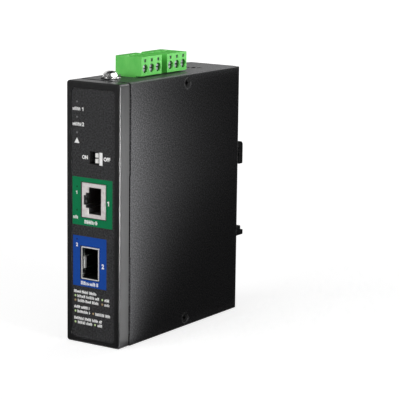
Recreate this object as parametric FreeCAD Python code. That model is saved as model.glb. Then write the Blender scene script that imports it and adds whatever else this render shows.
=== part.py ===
import FreeCAD, Part
import math
import os

# Case, in millimetres: X across, Y from the front face to the rear, Z up from the bottom panel
case_width = 30.0
case_height = 120.0
case_depth = 97.0

# Folded steel sheet
sheet = 1.0
sheet_gap = 0.15
bend_radius = 0.4
shallow_fold = math.cos(math.radians(75))
panel_end_gap = 0.2
flange_height = 11.5
flange_front_y = 10.5

# Moulded front bezel: a cap whose skirt reaches back over the chassis
bezel_depth = 7.0
bezel_wall = 1.8
bezel_face = 2.4
bezel_corner = 1.4
bezel_edge = 0.9
skirt_inner_corner = 0.5
skirt_gap = 0.2
opening_gap = 0.25
hook_tab_gap = 0.1
hook_thick = 1.2
hook_span = 6.0
hook_catch = 0.5
hook_nose = 1.8
hook_room = 0.05
hook_play = 0.15
hook_heights = (18.0, 87.0)

# Printed overlay in the bezel's shallow recess
overlay_recess = 0.8
overlay_thick = 0.45
overlay_corner = 2.0
overlay_gap = 0.1
rim_side = 2.9
rim_top = 3.1
rim_bottom = 2.2

# Wrap cover and its joggled tabs
cover_edge_gap = 0.9
cover_end_gap = 0.3
tab_front_y = 4.2
tab_step_gap = 0.2
tab_step_run = 1.3
tab_root = 1.2
tab_margin = 4.9
tab_length = 36.5

# Metric screws: shank radii, with the play of their holes
m3_shank = 1.45
m4_shank = 1.95
screw_play = 0.05
countersunk_head = 2.8
countersunk_play = 0.1
countersunk_sink = 0.2
cover_screw_y = 52.4
cover_screw_inset = 4.1
cover_screw_length = 4.5

# Ground point on the top panel
ground_x = -2.2
ground_y = 16.0
ground_head_radius = 3.55
ground_head_height = 2.4
ground_crown = 1.7
ground_crown_radius = 1.6
ground_shank_length = 7.0
ground_nut_radius = 3.6
ground_nut_height = 2.8
washer_ring_radius = 3.4
washer_tooth_radius = 4.5
washer_thick = 0.5
washer_height = 1.0
washer_teeth = 8
tooth_width = 1.3
tooth_twist = 24.0
washer_play = 0.2

# Round vents in the top panel
vent_radius = 1.15
vent_pitch = 3.1
vent_row_gap = 2.4
vent_row_shift = 2.1
vent_rows = 2
vent_columns = 2
vent_first_x = -0.9
vent_rear_inset = 22.0

# Main board, upright along the left side of the case
board_inset = 8.7
board_thick = 1.6
board_front_y = 6.0
board_rear_gap = 4.0
board_end_gap = 3.5
standoff_radius = 2.9
standoff_bore = 1.3
standoff_front = 7.0
standoff_rear = 6.0
standoff_edge = 4.0
board_screw_head = 2.7
board_screw_head_height = 1.8
board_screw_shank = 1.2
board_screw_length = 5.0
board_hole_play = 0.2

# Copper jack, lying on the board with its latch side towards it
jack_z = 66.5
jack_width = 15.75
jack_height = 13.3
jack_depth = 21.0
jack_front_y = 0.2
jack_wall = 0.35
jack_mouth_base = 3.8
jack_mouth_height = 7.0
jack_mouth_width = 12.2
jack_step_width = 7.0
jack_step_height = 1.75
jack_key_width = 4.4
jack_key_height = 1.15
jack_mouth_depth = 14.0
jack_insert_gap = 0.05
contact_count = 8
contact_pitch = 1.02
contact_width = 0.45
contact_thick = 0.35
contact_bend_y = 3.5
contact_drop = 2.2

# Fibre module cage on the same board
cage_z = 37.5
cage_width = 14.35
cage_height = 9.25
cage_depth = 49.0
cage_front_y = 0.9
cage_wall = 0.35
gasket_wall = 0.3
gasket_front_y = 0.3
gasket_band = 1.2
gasket_board_gap = 0.4
finger_pitch = 2.3
finger_slit = 0.4
latch_width = 5.2
latch_length = 7.5
latch_rise = 0.65
latch_slit = 0.35
socket_y = 37.0
socket_length = 9.0
socket_width = 10.0
socket_height = 5.6
card_slot_width = 8.4
card_slot_height = 1.2
card_slot_depth = 5.0
card_slot_base = 2.6

# Two-position switch with side sliders
switch_z = 86.08
switch_width = 7.2
switch_height = 11.7
switch_depth = 7.8
switch_wall = 0.8
switch_panel_gap = 0.3
window_base = 4.2
window_height = 5.5
window_width = 5.75
slider_pitch = 2.54
knob_length = 1.86
knob_width = 1.95
knob_front_y = 0.6
knob_end_gap = 0.6
slider_travel = 2.6
slider_play = 0.15
slider_base_over = 1.0
slider_base_width = 2.3
slider_base_thick = 1.3
switch_cavity_depth = 1.5
switch_cavity_play = 0.3

# Status lights: distances from the case top for the upper row, heights for the port lights
light_axis = 1.25
upper_light_drops = (9.3, 16.2, 23.2)
port_light_heights = (72.2, 61.5, 48.1)
pipe_side = 1.6
pipe_play = 0.12
pipe_collar_over = 0.5
pipe_collar = 0.8
led_gap = 0.4
led_width = 2.2
led_height = 2.3
led_depth = 2.2

# Pluggable terminals in the top panel
poles = 3
pole_pitch = 5.08
terminal_first_y = 34.85
header_row_gap = 2.2
terminal_count = 2
plug_end = 0.25
plug_gap = 0.25
plug_rise = 9.0
plug_back_over = 1.5
plug_height = 14.8
plug_corner = 2.0
neck_base = 1.3
neck_height = 8.6
neck_depth = 7.8
neck_end = 0.03
neck_play = 0.2
header_wall = 1.15
header_end_wall = 1.05
header_floor = 2.3
header_top_gap = 0.1
header_foot_room = 1.7
panel_slot_play = 0.4
pin_side = 1.0
pin_base = 5.6
pin_rise = 7.0
pin_tail_drop = 1.8
pin_tail_past = 1.3
pin_hole_play = 0.1
pin_play = 0.1
contact_wall = 0.6
contact_end_gap = 0.6
bar_thick = 0.9
bar_width = 2.9

# Rising clamp of each pole: a captive screw draws its cage along X
clamp_axis_rise = 3.65
clamp_inner = 4.65
clamp_back_wall = 0.7
clamp_thread_wall = 1.3
clamp_side_wall = 0.5
clamp_width = 4.2
clamp_depth = 5.4
clamp_travel = 2.4
clamp_play = 0.2
clamp_bar_room = 0.55
pocket_top_wall = 2.0
wire_entry_height = 3.3
wire_entry_width = 3.8
wire_entry_flare = 0.4
clamp_screw_shank = 1.25
clamp_screw_head = 2.1
clamp_screw_head_height = 1.1
clamp_screw_play = 0.3
screw_access_radius = 1.95
clamp_screw_tip_gap = 0.1
clamp_slot_width = 0.6
clamp_slot_depth = 0.6
test_hole_side = 1.5
test_hole_depth = 1.2
test_hole_drop = 1.75

# Cast bracket on the rear wall for a 35 mm top-hat rail, with a sprung upper jaw
rail_height = 35.0
rail_bottom_z = 38.3
rail_slot = 1.5
bracket_width = 25.0
bracket_plate = 2.5
bracket_lip = 3.4
bracket_top_z = 82.3
jaw_roof_z = 79.2
jaw_lip_drop = 2.1
jaw_corner = 2.0
toe_ledge = 2.5
toe_gap = 0.4
toe_rise = 2.3
toe_lip = 2.4
toe_reach = 2.2
bracket_edge = 0.5
bracket_screw_heights = (46.0, 66.0)
bracket_screw_length = 6.0
bracket_nut_radius = 3.0
bracket_nut_height = 2.5
pin_x = -9.7
pin_drop = 1.8
spring_pin_radius = 0.8
spring_eye = 0.9
spring_eye_wall = 0.6
spring_arm = 0.9
spring_width = 1.0
spring_reach = 17.0
spring_tip = 3.4
spring_low_gap = 0.3

# Board components, placed from the board's lower front corner
magnetics_size = (7.0, 18.0, 13.0)
magnetics_spot = (21.0, 56.5)
phy_size = (2.4, 17.0, 17.0)
phy_spot = (46.0, 54.5)
pad_thick = 0.5
pad_inset = 1.0
sink_over = 4.0
sink_base = 2.0
sink_height = 11.4
sink_fin = 1.0
sink_fins = 9
port_chip_size = (1.2, 9.0, 9.0)
port_chip_spot = (50.0, 80.5)
controller_size = (0.9, 7.0, 7.0)
controller_spot = (53.0, 33.5)
transformer_size = (13.0, 18.0, 16.0)
transformer_spot = (60.0, 8.5)
transformer_flange = 2.2
winding_gap = 0.4
inductor_size = (6.0, 12.0, 12.0)
inductor_spots = ((68.0, 29.5), (68.0, 45.5))
inductor_chamfer = 2.0
capacitor_radius = 5.0
capacitor_height = 12.5
capacitor_bead = 0.6
capacitor_spots = ((52.0, 9.5), (52.0, 21.5))
relay_size = (10.0, 15.0, 8.0)
relay_spot = (66.0, 88.5)
component_edge = 0.4

# Places that follow from the sizes above
half_width = case_width / 2
board_x = board_inset - half_width
board_back_x = board_x - board_thick
board_rear_y = case_depth - sheet - board_rear_gap
board_top_z = case_height - board_end_gap
panel_half = half_width - sheet - sheet_gap
tier_half = half_width - bezel_wall - skirt_gap
tier_inset = bezel_wall + skirt_gap
hook_outer_x = tier_half - sheet - hook_tab_gap - hook_catch
front_wall_rear = bezel_face + sheet
panel_rear_y = case_depth - sheet - panel_end_gap
flange_inner = panel_half - sheet
light_x = board_back_x - light_axis
light_heights = tuple(case_height - drop for drop in upper_light_drops) + port_light_heights
window_low_x = board_x + window_base
window_high_x = window_low_x + window_height
slider_heights = (switch_z + slider_pitch / 2, switch_z - slider_pitch / 2)
rail_top_z = rail_bottom_z + rail_height
plate_rear_y = case_depth + bracket_plate
lip_front_y = plate_rear_y + rail_slot
jaw_rear_y = lip_front_y + bracket_lip
toe_rear_y = lip_front_y + toe_lip + toe_reach
overall_depth = max(jaw_rear_y, toe_rear_y)
spring_pin_z = jaw_roof_z - pin_drop
spring_mid_y = plate_rear_y + rail_slot / 2

# Terminal heights and depths, from the top panel and the board face
plug_base_z = case_height + plug_gap
plug_top_z = plug_base_z + plug_rise
plug_low_x = board_x - plug_back_over
plug_high_x = plug_low_x + plug_height
plug_half = poles * pole_pitch / 2 + plug_end
neck_low_x = board_x + neck_base
neck_high_x = neck_low_x + neck_height
neck_half = poles * pole_pitch / 2 + neck_end
neck_low_z = plug_base_z - neck_depth
header_top_z = case_height - sheet - header_top_gap
header_floor_z = neck_low_z - header_foot_room
header_low_z = header_floor_z - header_floor
header_high_x = neck_high_x + neck_play + header_wall
header_half = neck_half + neck_play + header_end_wall
terminal_spacing = 2 * header_half + header_row_gap
terminal_ys = tuple(terminal_first_y + k * terminal_spacing for k in range(terminal_count))
pin_x_axis = board_x + pin_base
pin_tail_z = header_low_z - pin_tail_drop
clamp_z = plug_base_z + clamp_axis_rise
bar_high_x = pin_x_axis + pin_side / 2 + pin_play + contact_wall
bar_low_x = bar_high_x - bar_thick
cage_in_high_x = bar_high_x + clamp_bar_room
cage_in_low_x = cage_in_high_x - clamp_inner
cage_high_x = cage_in_high_x + clamp_thread_wall
cage_low_x = cage_in_low_x - clamp_back_wall
pocket_low_x = cage_low_x - clamp_play
screw_head_x = cage_high_x + clamp_travel + clamp_play
screw_top_x = screw_head_x + clamp_screw_head_height
pocket_high_x = screw_top_x + clamp_screw_tip_gap
pocket_low_z = clamp_z - clamp_depth / 2 - clamp_play
pocket_high_z = plug_top_z - pocket_top_wall


def vec(x, y, z):
    return FreeCAD.Vector(x, y, z)


def box(x, y, z):
    """Block between three pairs of limits."""
    corner = vec(x[0], y[0], z[0])
    return Part.makeBox(x[1] - x[0], y[1] - y[0], z[1] - z[0], corner)


def rod(radius, start, end):
    """Cylinder of a radius between two points."""
    return Part.makeCylinder(radius, (end - start).Length, start, end - start)


def cone(start_radius, end_radius, start, end):
    return Part.makeCone(start_radius, end_radius, (end - start).Length, start, end - start)


def joined(shapes):
    first, *others = shapes
    if not others:
        return first
    return first.multiFuse(others).removeSplitter()


def outline(points, radii, place):
    """Closed face through 2-D points, each corner rounded by its radius (0 leaves it sharp)."""
    corners = [place(*point) for point in points]
    count = len(corners)
    marks = []
    for i, corner in enumerate(corners):
        before = (corners[i - 1] - corner).normalize()
        after = (corners[(i + 1) % count] - corner).normalize()
        if radii[i] == 0:
            marks.append((corner, None, corner))
            continue
        half_angle = before.getAngle(after) / 2
        reach = radii[i] / math.tan(half_angle)
        middle = (before + after).normalize() * (radii[i] / math.sin(half_angle) - radii[i])
        marks.append((corner + before * reach, corner + middle, corner + after * reach))
    edges = []
    for i, (start, middle, end) in enumerate(marks):
        if middle is not None:
            edges.append(Part.Arc(start, middle, end).toShape())
        following = marks[(i + 1) % count][0]
        if (following - end).Length > 1e-6:
            edges.append(Part.LineSegment(end, following).toShape())
    return Part.Face(Part.Wire(edges))


def across_y(y):
    return lambda x, z: vec(x, y, z)


def across_x(x):
    return lambda y, z: vec(x, y, z)


def across_z(z):
    return lambda x, y: vec(x, y, z)


def rounded_plate(x, z, radius, y):
    """Plate upright across Y, with rounded corners."""
    points = ((x[0], z[0]), (x[1], z[0]), (x[1], z[1]), (x[0], z[1]))
    return outline(points, [radius] * 4, across_y(y[0])).extrude(vec(0, y[1] - y[0], 0))


def folded_sheet(points, place, along):
    """Sheet along a 2-D path, thickness to its left; square folds are rounded, shallow ones creased."""
    count = len(points)
    directions = []
    for (a0, b0), (a1, b1) in zip(points, points[1:]):
        length = math.hypot(a1 - a0, b1 - b0)
        directions.append(((a1 - a0) / length, (b1 - b0) / length))
    inner = []
    path_radii = []
    inner_radii = []
    for i, (a, b) in enumerate(points):
        into = directions[max(i - 1, 0)]
        out = directions[min(i, count - 2)]
        turn = into[0] * out[1] - into[1] * out[0]
        along_both = into[0] * out[0] + into[1] * out[1]
        share = sheet / (1 + along_both)
        inner.append((a - (into[1] + out[1]) * share, b + (into[0] + out[0]) * share))
        fold = 0 < i < count - 1 and along_both < shallow_fold
        path_radii.append((bend_radius + sheet if turn > 0 else bend_radius) if fold else 0)
        inner_radii.append((bend_radius if turn > 0 else bend_radius + sheet) if fold else 0)
    face = outline(points + inner[::-1], path_radii + inner_radii[::-1], place)
    return face.extrude(along)


def edges_along(shape, axis, keep):
    """Straight edges of a shape along one axis whose middle point passes a test."""
    found = []
    for edge in shape.Edges:
        if edge.Curve.TypeId != "Part::GeomLine":
            continue
        if abs(edge.Curve.Direction.dot(axis)) > 0.999 and keep(edge.CenterOfMass):
            found.append(edge)
    return found


def port_openings(gap, y):
    """Cutters for the jack, cage and switch windows through one front layer."""
    jack = box((board_x - gap, board_x + jack_height + gap), y,
               (jack_z - jack_width / 2 - gap, jack_z + jack_width / 2 + gap))
    rim = gasket_wall + gap
    cage = box((board_x - rim, board_x + cage_height + rim), y,
               (cage_z - cage_width / 2 - rim, cage_z + cage_width / 2 + rim))
    window = box((window_low_x, window_high_x), y,
                 (switch_z - window_width / 2, switch_z + window_width / 2))
    return [jack, cage, window]


def light_post(over, y, z):
    """Square post at one light, grown by over on its four sides."""
    half = pipe_side / 2 + over
    return box((light_x - half, light_x + half), y, (z - half, z + half))


def light_openings(y):
    return [light_post(pipe_play, y, z) for z in light_heights]


def snap_hook(side, z):
    """Hook behind the bezel's face that snaps through the chassis's front wall."""
    catch_y = front_wall_rear + hook_room
    points = [(hook_outer_x - hook_thick, bezel_face), (hook_outer_x, bezel_face), (hook_outer_x, catch_y),
              (hook_outer_x + hook_catch, catch_y), (hook_outer_x, catch_y + hook_nose),
              (hook_outer_x - hook_thick, catch_y + hook_nose)]
    face = outline(points, [0] * len(points), across_z(z - hook_span / 2))
    hook = face.extrude(vec(0, 0, hook_span))
    return hook if side > 0 else hook.mirror(vec(0, 0, 0), vec(1, 0, 0))


def hook_slot(side, z):
    x = sorted((side * (hook_outer_x - hook_thick - hook_play), side * (hook_outer_x + hook_play)))
    reach = hook_span / 2 + hook_play
    return box(x, (bezel_face, front_wall_rear), (z - reach, z + reach))


def hook_spots():
    return [(side, z) for side in (-1, 1) for z in hook_heights]


def overlay_limits(gap):
    x = (rim_side - half_width + gap, half_width - rim_side - gap)
    z = (rim_bottom + gap, case_height - rim_top - gap)
    return x, z


def front_bezel():
    """Cap with rounded corners, a shallow label recess and four snap hooks behind its face."""
    cap = rounded_plate((-half_width, half_width), (0, case_height), bezel_corner, (0, bezel_depth))
    front_edges = [e for e in cap.Edges if e.BoundBox.YMax < 1e-6]
    cap = cap.makeFillet(bezel_edge, front_edges)
    inner = half_width - bezel_wall
    hollow = rounded_plate((-inner, inner), (bezel_wall, case_height - bezel_wall),
                           skirt_inner_corner, (bezel_face, bezel_depth))
    x, z = overlay_limits(0)
    recess = rounded_plate(x, z, overlay_corner, (0, overlay_recess))
    layer = (0, bezel_face)
    cap = cap.cut([hollow, recess] + port_openings(opening_gap, layer) + light_openings(layer))
    return joined([cap] + [snap_hook(side, z) for side, z in hook_spots()])


def front_overlay():
    """Film that lies in the bezel's recess; the lights shine through clear windows in its print."""
    x, z = overlay_limits(overlay_gap)
    y = (overlay_recess - overlay_thick, overlay_recess)
    label = rounded_plate(x, z, overlay_corner, y)
    return label.cut(port_openings(opening_gap, y))


def vent_spots():
    """Two staggered rows of holes, behind the terminals."""
    spots = []
    for row in range(vent_rows):
        y = case_depth - vent_rear_inset + row * vent_row_gap
        for column in range(vent_columns):
            spots.append((vent_first_x + row * vent_row_shift + column * vent_pitch, y))
    return spots


def panel_cutters():
    """Vents, ground hole and header slots of the top panel."""
    cutters = []
    z = (case_height - sheet, case_height)
    for x, y in vent_spots():
        cutters.append(rod(vent_radius, vec(x, y, z[0]), vec(x, y, z[1])))
    ground = vec(ground_x, ground_y, 0)
    cutters.append(rod(m4_shank + screw_play, ground + vec(0, 0, z[0]), ground + vec(0, 0, z[1])))
    slot_half = neck_half + panel_slot_play
    for y in terminal_ys:
        slot_x = (neck_low_x - panel_slot_play, neck_high_x + panel_slot_play)
        cutters.append(box(slot_x, (y - slot_half, y + slot_half), z))
    return cutters


def cover_screw_spots():
    return [(side, z) for side in (-1, 1) for z in (cover_screw_inset, case_height - cover_screw_inset)]


def standoff_spots():
    ys = (board_front_y + standoff_front, board_rear_y - standoff_rear)
    zs = (board_end_gap + standoff_edge, board_top_z - standoff_edge)
    return [(y, z) for y in ys for z in zs]


def chassis():
    """Front wall, top and bottom panel from one sheet, stepped under the bezel, with side flanges."""
    step_y = bezel_depth + sheet_gap + sheet
    step_end_y = step_y + tab_step_run
    rise = case_height - tier_inset
    path = [(panel_rear_y, 0), (step_end_y, 0), (step_y, tier_inset), (bezel_face, tier_inset),
            (bezel_face, rise), (step_y, rise), (step_end_y, case_height), (panel_rear_y, case_height)]
    path = path[::-1]
    body = folded_sheet(path, across_x(-panel_half), vec(2 * panel_half, 0, 0))
    front_trim = (0, step_y)
    for side in (-1, 1):
        limits = sorted((side * tier_half, side * half_width))
        body = body.cut(box(limits, front_trim, (0, case_height)))
    flanges = []
    for side in (-1, 1):
        x = sorted((side * flange_inner, side * panel_half))
        y = (flange_front_y, panel_rear_y)
        flanges.append(box(x, y, (sheet, flange_height)))
        flanges.append(box(x, y, (case_height - flange_height, case_height - sheet)))
    body = joined([body] + flanges)
    body = body.common(rounded_plate((-panel_half, panel_half), (0, case_height), bend_radius + sheet / 2,
                                     (0, panel_rear_y)))
    layer = (bezel_face, front_wall_rear)
    cutters = panel_cutters() + port_openings(opening_gap, layer) + light_openings(layer)
    cutters += [hook_slot(side, z) for side, z in hook_spots()]
    for side, z in cover_screw_spots():
        cutters.append(rod(m3_shank + screw_play, vec(side * flange_inner, cover_screw_y, z),
                           vec(side * panel_half, cover_screw_y, z)))
    return body.cut(cutters)


def cover_tab(side, z):
    """Tab that steps in behind the bezel's skirt."""
    step_y = bezel_depth + tab_step_gap
    step_end_y = step_y + tab_step_run
    path = [(tier_half, tab_front_y), (tier_half, step_y), (half_width, step_end_y),
            (half_width, step_end_y + tab_root)]
    tab = folded_sheet(path, across_z(z), vec(0, 0, tab_length))
    return tab if side > 0 else tab.mirror(vec(0, 0, 0), vec(1, 0, 0))


def wrap_cover():
    """Left side, rear and right side folded from one sheet."""
    edge_y = bezel_depth + cover_edge_gap
    path = [(half_width, edge_y), (half_width, case_depth), (-half_width, case_depth), (-half_width, edge_y)]
    height = case_height - 2 * cover_end_gap
    shell = folded_sheet(path, across_z(cover_end_gap), vec(0, 0, height))
    root_y = bezel_depth + tab_step_gap + tab_step_run + tab_root
    tabs = []
    for side in (-1, 1):
        x = sorted((side * (half_width - sheet), side * half_width))
        for z in (tab_margin, case_height - tab_margin - tab_length):
            shell = shell.cut(box(x, (edge_y, root_y), (z, z + tab_length)))
            tabs.append(cover_tab(side, z))
    shell = joined([shell] + tabs)
    cutters = []
    inner = half_width - sheet
    for side, z in cover_screw_spots():
        wide = countersunk_head + countersunk_play
        outer_end = vec(side * half_width, cover_screw_y, z)
        inner_end = vec(side * inner, cover_screw_y, z)
        cutters.append(cone(wide, wide - sheet, outer_end, inner_end))
    for z in bracket_screw_heights:
        cutters.append(rod(m3_shank + screw_play, vec(0, case_depth - sheet, z), vec(0, case_depth, z)))
    return shell.cut(cutters)


def countersunk_screw(head_end, inward, length):
    """Countersunk screw; its flat head lies a little below the surface at head_end."""
    grip = sheet + sheet_gap
    neck = head_end + inward * grip
    flat = head_end + inward * countersunk_sink
    head = cone(countersunk_head - countersunk_sink, countersunk_head - grip, flat, neck)
    return joined([head, rod(m3_shank, neck, head_end + inward * length)])


def cover_screws():
    screws = []
    for side, z in cover_screw_spots():
        screws.append(countersunk_screw(vec(side * half_width, cover_screw_y, z), vec(-side, 0, 0),
                                        cover_screw_length))
    return Part.makeCompound(screws)


def ground_screw():
    """Pan head with a bevelled crown, standing on the toothed washer."""
    seat = vec(ground_x, ground_y, case_height + washer_height)
    top = seat + vec(0, 0, ground_head_height)
    crown = top - vec(0, 0, ground_crown)
    shank = rod(m4_shank, seat - vec(0, 0, ground_shank_length), seat)
    rim = rod(ground_head_radius, seat, crown)
    return joined([shank, rim, cone(ground_head_radius, ground_crown_radius, crown, top)])


def ground_washer():
    """Lock washer whose outer teeth are twisted, so that they bite panel and head."""
    middle = case_height + washer_height / 2
    half = washer_thick / 2
    ring = rod(washer_ring_radius, vec(0, 0, middle - half), vec(0, 0, middle + half))
    teeth = []
    for k in range(washer_teeth):
        tooth = box((washer_ring_radius - washer_thick, washer_tooth_radius),
                    (-tooth_width / 2, tooth_width / 2), (-half, half))
        tooth.rotate(vec(0, 0, 0), vec(1, 0, 0), tooth_twist)
        tooth.translate(vec(0, 0, middle))
        tooth.rotate(vec(0, 0, 0), vec(0, 0, 1), k * 360 / washer_teeth)
        teeth.append(tooth)
    washer = joined([ring] + teeth)
    z = (case_height, case_height + washer_height)
    reach = (-washer_tooth_radius, washer_tooth_radius)
    bore = rod(m4_shank + washer_play, vec(0, 0, z[0]), vec(0, 0, z[1]))
    return washer.common(box(reach, reach, z)).cut(bore).translated(vec(ground_x, ground_y, 0))


def hex_prism(radius, start, end):
    """Six-sided bar between two points, radius measured to its corners."""
    along = end - start
    across = vec(0, 0, 1) if abs(along.z) < 1e-9 else vec(1, 0, 0)
    turn = FreeCAD.Rotation(along, 60)
    corner = across * radius
    corners = []
    for k in range(6):
        corners.append(start + corner)
        corner = turn.multVec(corner)
    return Part.Face(Part.makePolygon(corners + corners[:1])).extrude(along)


def hex_nut(radius, bore, start, end):
    return hex_prism(radius, start, end).cut(rod(bore, start, end))


def ground_nut():
    """Weld nut under the top panel."""
    seat = vec(ground_x, ground_y, case_height - sheet)
    return hex_nut(ground_nut_radius, m4_shank + screw_play, seat - vec(0, 0, ground_nut_height), seat)


def rail_bracket():
    """Cast plate with a sprung upper jaw and a fixed lower hook behind the rail's edges."""
    lip_low_z = rail_top_z - jaw_lip_drop
    ledge_top_z = rail_bottom_z - toe_gap
    ledge_low_z = ledge_top_z - toe_ledge
    toe_top_z = ledge_top_z + toe_rise
    toe_lip_y = lip_front_y + toe_lip
    points = [(case_depth, ledge_low_z), (toe_rear_y, ledge_low_z), (toe_rear_y, ledge_top_z),
              (toe_lip_y, ledge_top_z), (toe_lip_y, toe_top_z), (lip_front_y, toe_top_z),
              (lip_front_y, ledge_top_z), (plate_rear_y, ledge_top_z), (plate_rear_y, jaw_roof_z),
              (lip_front_y, jaw_roof_z), (lip_front_y, lip_low_z), (jaw_rear_y, lip_low_z),
              (jaw_rear_y, bracket_top_z), (case_depth, bracket_top_z)]
    small = bracket_edge
    radii = [0, small, small, 0, small, small, 0, 0, 0, 0, small, small, jaw_corner, 0]
    half = bracket_width / 2
    body = outline(points, radii, across_x(-half)).extrude(vec(bracket_width, 0, 0))
    cutters = []
    for z in bracket_screw_heights:
        rear = vec(0, plate_rear_y, z)
        wide = countersunk_head + countersunk_play
        grip = sheet + sheet_gap
        cutters.append(cone(wide, wide - grip, rear, rear - vec(0, grip, 0)))
        cutters.append(rod(m3_shank + screw_play, rear, rear - vec(0, bracket_plate, 0)))
    pin_start = vec(pin_x, case_depth + sheet, spring_pin_z)
    pin_end = vec(pin_x, jaw_rear_y, spring_pin_z)
    cutters.append(rod(spring_pin_radius + screw_play, pin_start, pin_end))
    return body.cut(cutters)


def spring_pin():
    start = vec(pin_x, case_depth + sheet, spring_pin_z)
    return rod(spring_pin_radius, start, vec(pin_x, jaw_rear_y - bracket_edge, spring_pin_z))


def rail_spring():
    """Flat wire arm that turns about an eye on the pin and presses on the rail's upper edge."""
    y = spring_mid_y - spring_width / 2
    outer = spring_eye + spring_eye_wall
    low_z = rail_top_z - spring_low_gap
    root_z = spring_pin_z - outer + spring_arm
    low_x = pin_x + spring_reach
    tip_x = low_x + spring_tip
    points = [(pin_x, root_z - spring_arm), (low_x, low_z), (tip_x, low_z + spring_tip / 2),
              (tip_x, low_z + spring_tip / 2 + spring_arm), (low_x, low_z + spring_arm), (pin_x, root_z)]
    bend = 2 * spring_arm
    arm = outline(points, [0, bend, 0, 0, bend / 2, 0], across_y(y)).extrude(vec(0, spring_width, 0))
    centre = vec(pin_x, y, spring_pin_z)
    width = vec(0, spring_width, 0)
    spring = joined([rod(outer, centre, centre + width), arm])
    return spring.cut(rod(spring_eye, centre, centre + width))


def bracket_screws():
    screws = []
    for z in bracket_screw_heights:
        screws.append(countersunk_screw(vec(0, plate_rear_y, z), vec(0, -1, 0), bracket_screw_length))
    return Part.makeCompound(screws)


def bracket_nuts():
    """Weld nuts inside the rear wall."""
    inner_y = case_depth - sheet
    nuts = []
    for z in bracket_screw_heights:
        nuts.append(hex_nut(bracket_nut_radius, m3_shank + screw_play,
                            vec(0, inner_y - bracket_nut_height, z), vec(0, inner_y, z)))
    return Part.makeCompound(nuts)


def pole_ys(terminal_y):
    return [terminal_y + (k - (poles - 1) / 2) * pole_pitch for k in range(poles)]


def terminal_header(y):
    """Socket that lies on the board and opens upwards under the top panel."""
    body = box((board_x, header_high_x), (y - header_half, y + header_half), (header_low_z, header_top_z))
    cavity_half = neck_half + neck_play
    cavity = box((neck_low_x - neck_play, neck_high_x + neck_play), (y - cavity_half, y + cavity_half),
                 (header_floor_z, header_top_z))
    pin_holes = []
    half = pin_side / 2
    for pole_y in pole_ys(y):
        pin_holes.append(box((pin_x_axis - half, pin_x_axis + half), (pole_y - half, pole_y + half),
                             (header_low_z, header_floor_z)))
    return body.cut([cavity] + pin_holes)


def header_pins(y):
    """Square pins, bent at a right angle into the board."""
    half = pin_side / 2
    pins = []
    for pole_y in pole_ys(y):
        span = (pole_y - half, pole_y + half)
        upright = box((pin_x_axis - half, pin_x_axis + half), span, (pin_tail_z, header_floor_z + pin_rise))
        tail_x = (board_back_x - pin_tail_past, pin_x_axis - half)
        tail = box(tail_x, span, (pin_tail_z, pin_tail_z + pin_side))
        pins.append(joined([upright, tail]))
    return Part.makeCompound(pins)


def wire_entry(pole_y):
    """Funnel in the plug's top that leads a wire into the clamp."""
    low_x = bar_low_x - wire_entry_height
    sections = []
    for z, flare in ((pocket_high_z, 0), (plug_top_z - wire_entry_flare, 0), (plug_top_z, wire_entry_flare)):
        half = (wire_entry_width + flare) / 2
        corners = [vec(low_x - flare, pole_y - half, z), vec(bar_low_x + flare, pole_y - half, z),
                   vec(bar_low_x + flare, pole_y + half, z), vec(low_x - flare, pole_y + half, z)]
        sections.append(Part.makePolygon(corners + corners[:1]))
    return Part.makeLoft(sections, True, True)


def terminal_plug(y):
    """Pull-off plug body: wire entries on top, screws on its right side, a narrow neck below."""
    points = [(plug_low_x, plug_base_z), (plug_high_x, plug_base_z), (plug_high_x, plug_top_z),
              (plug_low_x, plug_top_z)]
    radii = [plug_corner, 0, 0, 0]
    body = outline(points, radii, across_y(y - plug_half)).extrude(vec(0, 2 * plug_half, 0))
    neck = box((neck_low_x, neck_high_x), (y - neck_half, y + neck_half), (neck_low_z, plug_base_z))
    body = joined([body, neck])
    cutters = []
    pocket_half = clamp_width / 2 + clamp_play
    socket_half = pin_side / 2 + pin_play + contact_wall
    test_z = plug_top_z - test_hole_drop
    for pole_y in pole_ys(y):
        cutters.append(box((pocket_low_x, pocket_high_x), (pole_y - pocket_half, pole_y + pocket_half),
                           (pocket_low_z, pocket_high_z)))
        cutters.append(wire_entry(pole_y))
        cutters.append(box((pin_x_axis - socket_half, pin_x_axis + socket_half),
                           (pole_y - socket_half, pole_y + socket_half), (neck_low_z, pocket_low_z)))
        cutters.append(rod(screw_access_radius, vec(pocket_high_x, pole_y, clamp_z),
                           vec(plug_high_x, pole_y, clamp_z)))
        cutters.append(box((plug_high_x - test_hole_depth, plug_high_x),
                           (pole_y - test_hole_side / 2, pole_y + test_hole_side / 2),
                           (test_z - test_hole_side / 2, test_z + test_hole_side / 2)))
    return body.cut(cutters)


def plug_contacts(y):
    """Sockets that grip the pins, each with a bar that reaches up into its clamp."""
    half = pin_side / 2 + pin_play
    outer = half + contact_wall
    contacts = []
    for pole_y in pole_ys(y):
        socket = box((pin_x_axis - outer, pin_x_axis + outer), (pole_y - outer, pole_y + outer),
                     (neck_low_z + contact_end_gap, pocket_low_z))
        bar = box((bar_low_x, bar_high_x), (pole_y - bar_width / 2, pole_y + bar_width / 2),
                  (pocket_low_z, pocket_high_z - clamp_play))
        hole = box((pin_x_axis - half, pin_x_axis + half), (pole_y - half, pole_y + half),
                   (neck_low_z, pocket_low_z - contact_wall))
        contacts.append(joined([socket, bar]).cut(hole))
    return Part.makeCompound(contacts)


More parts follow.
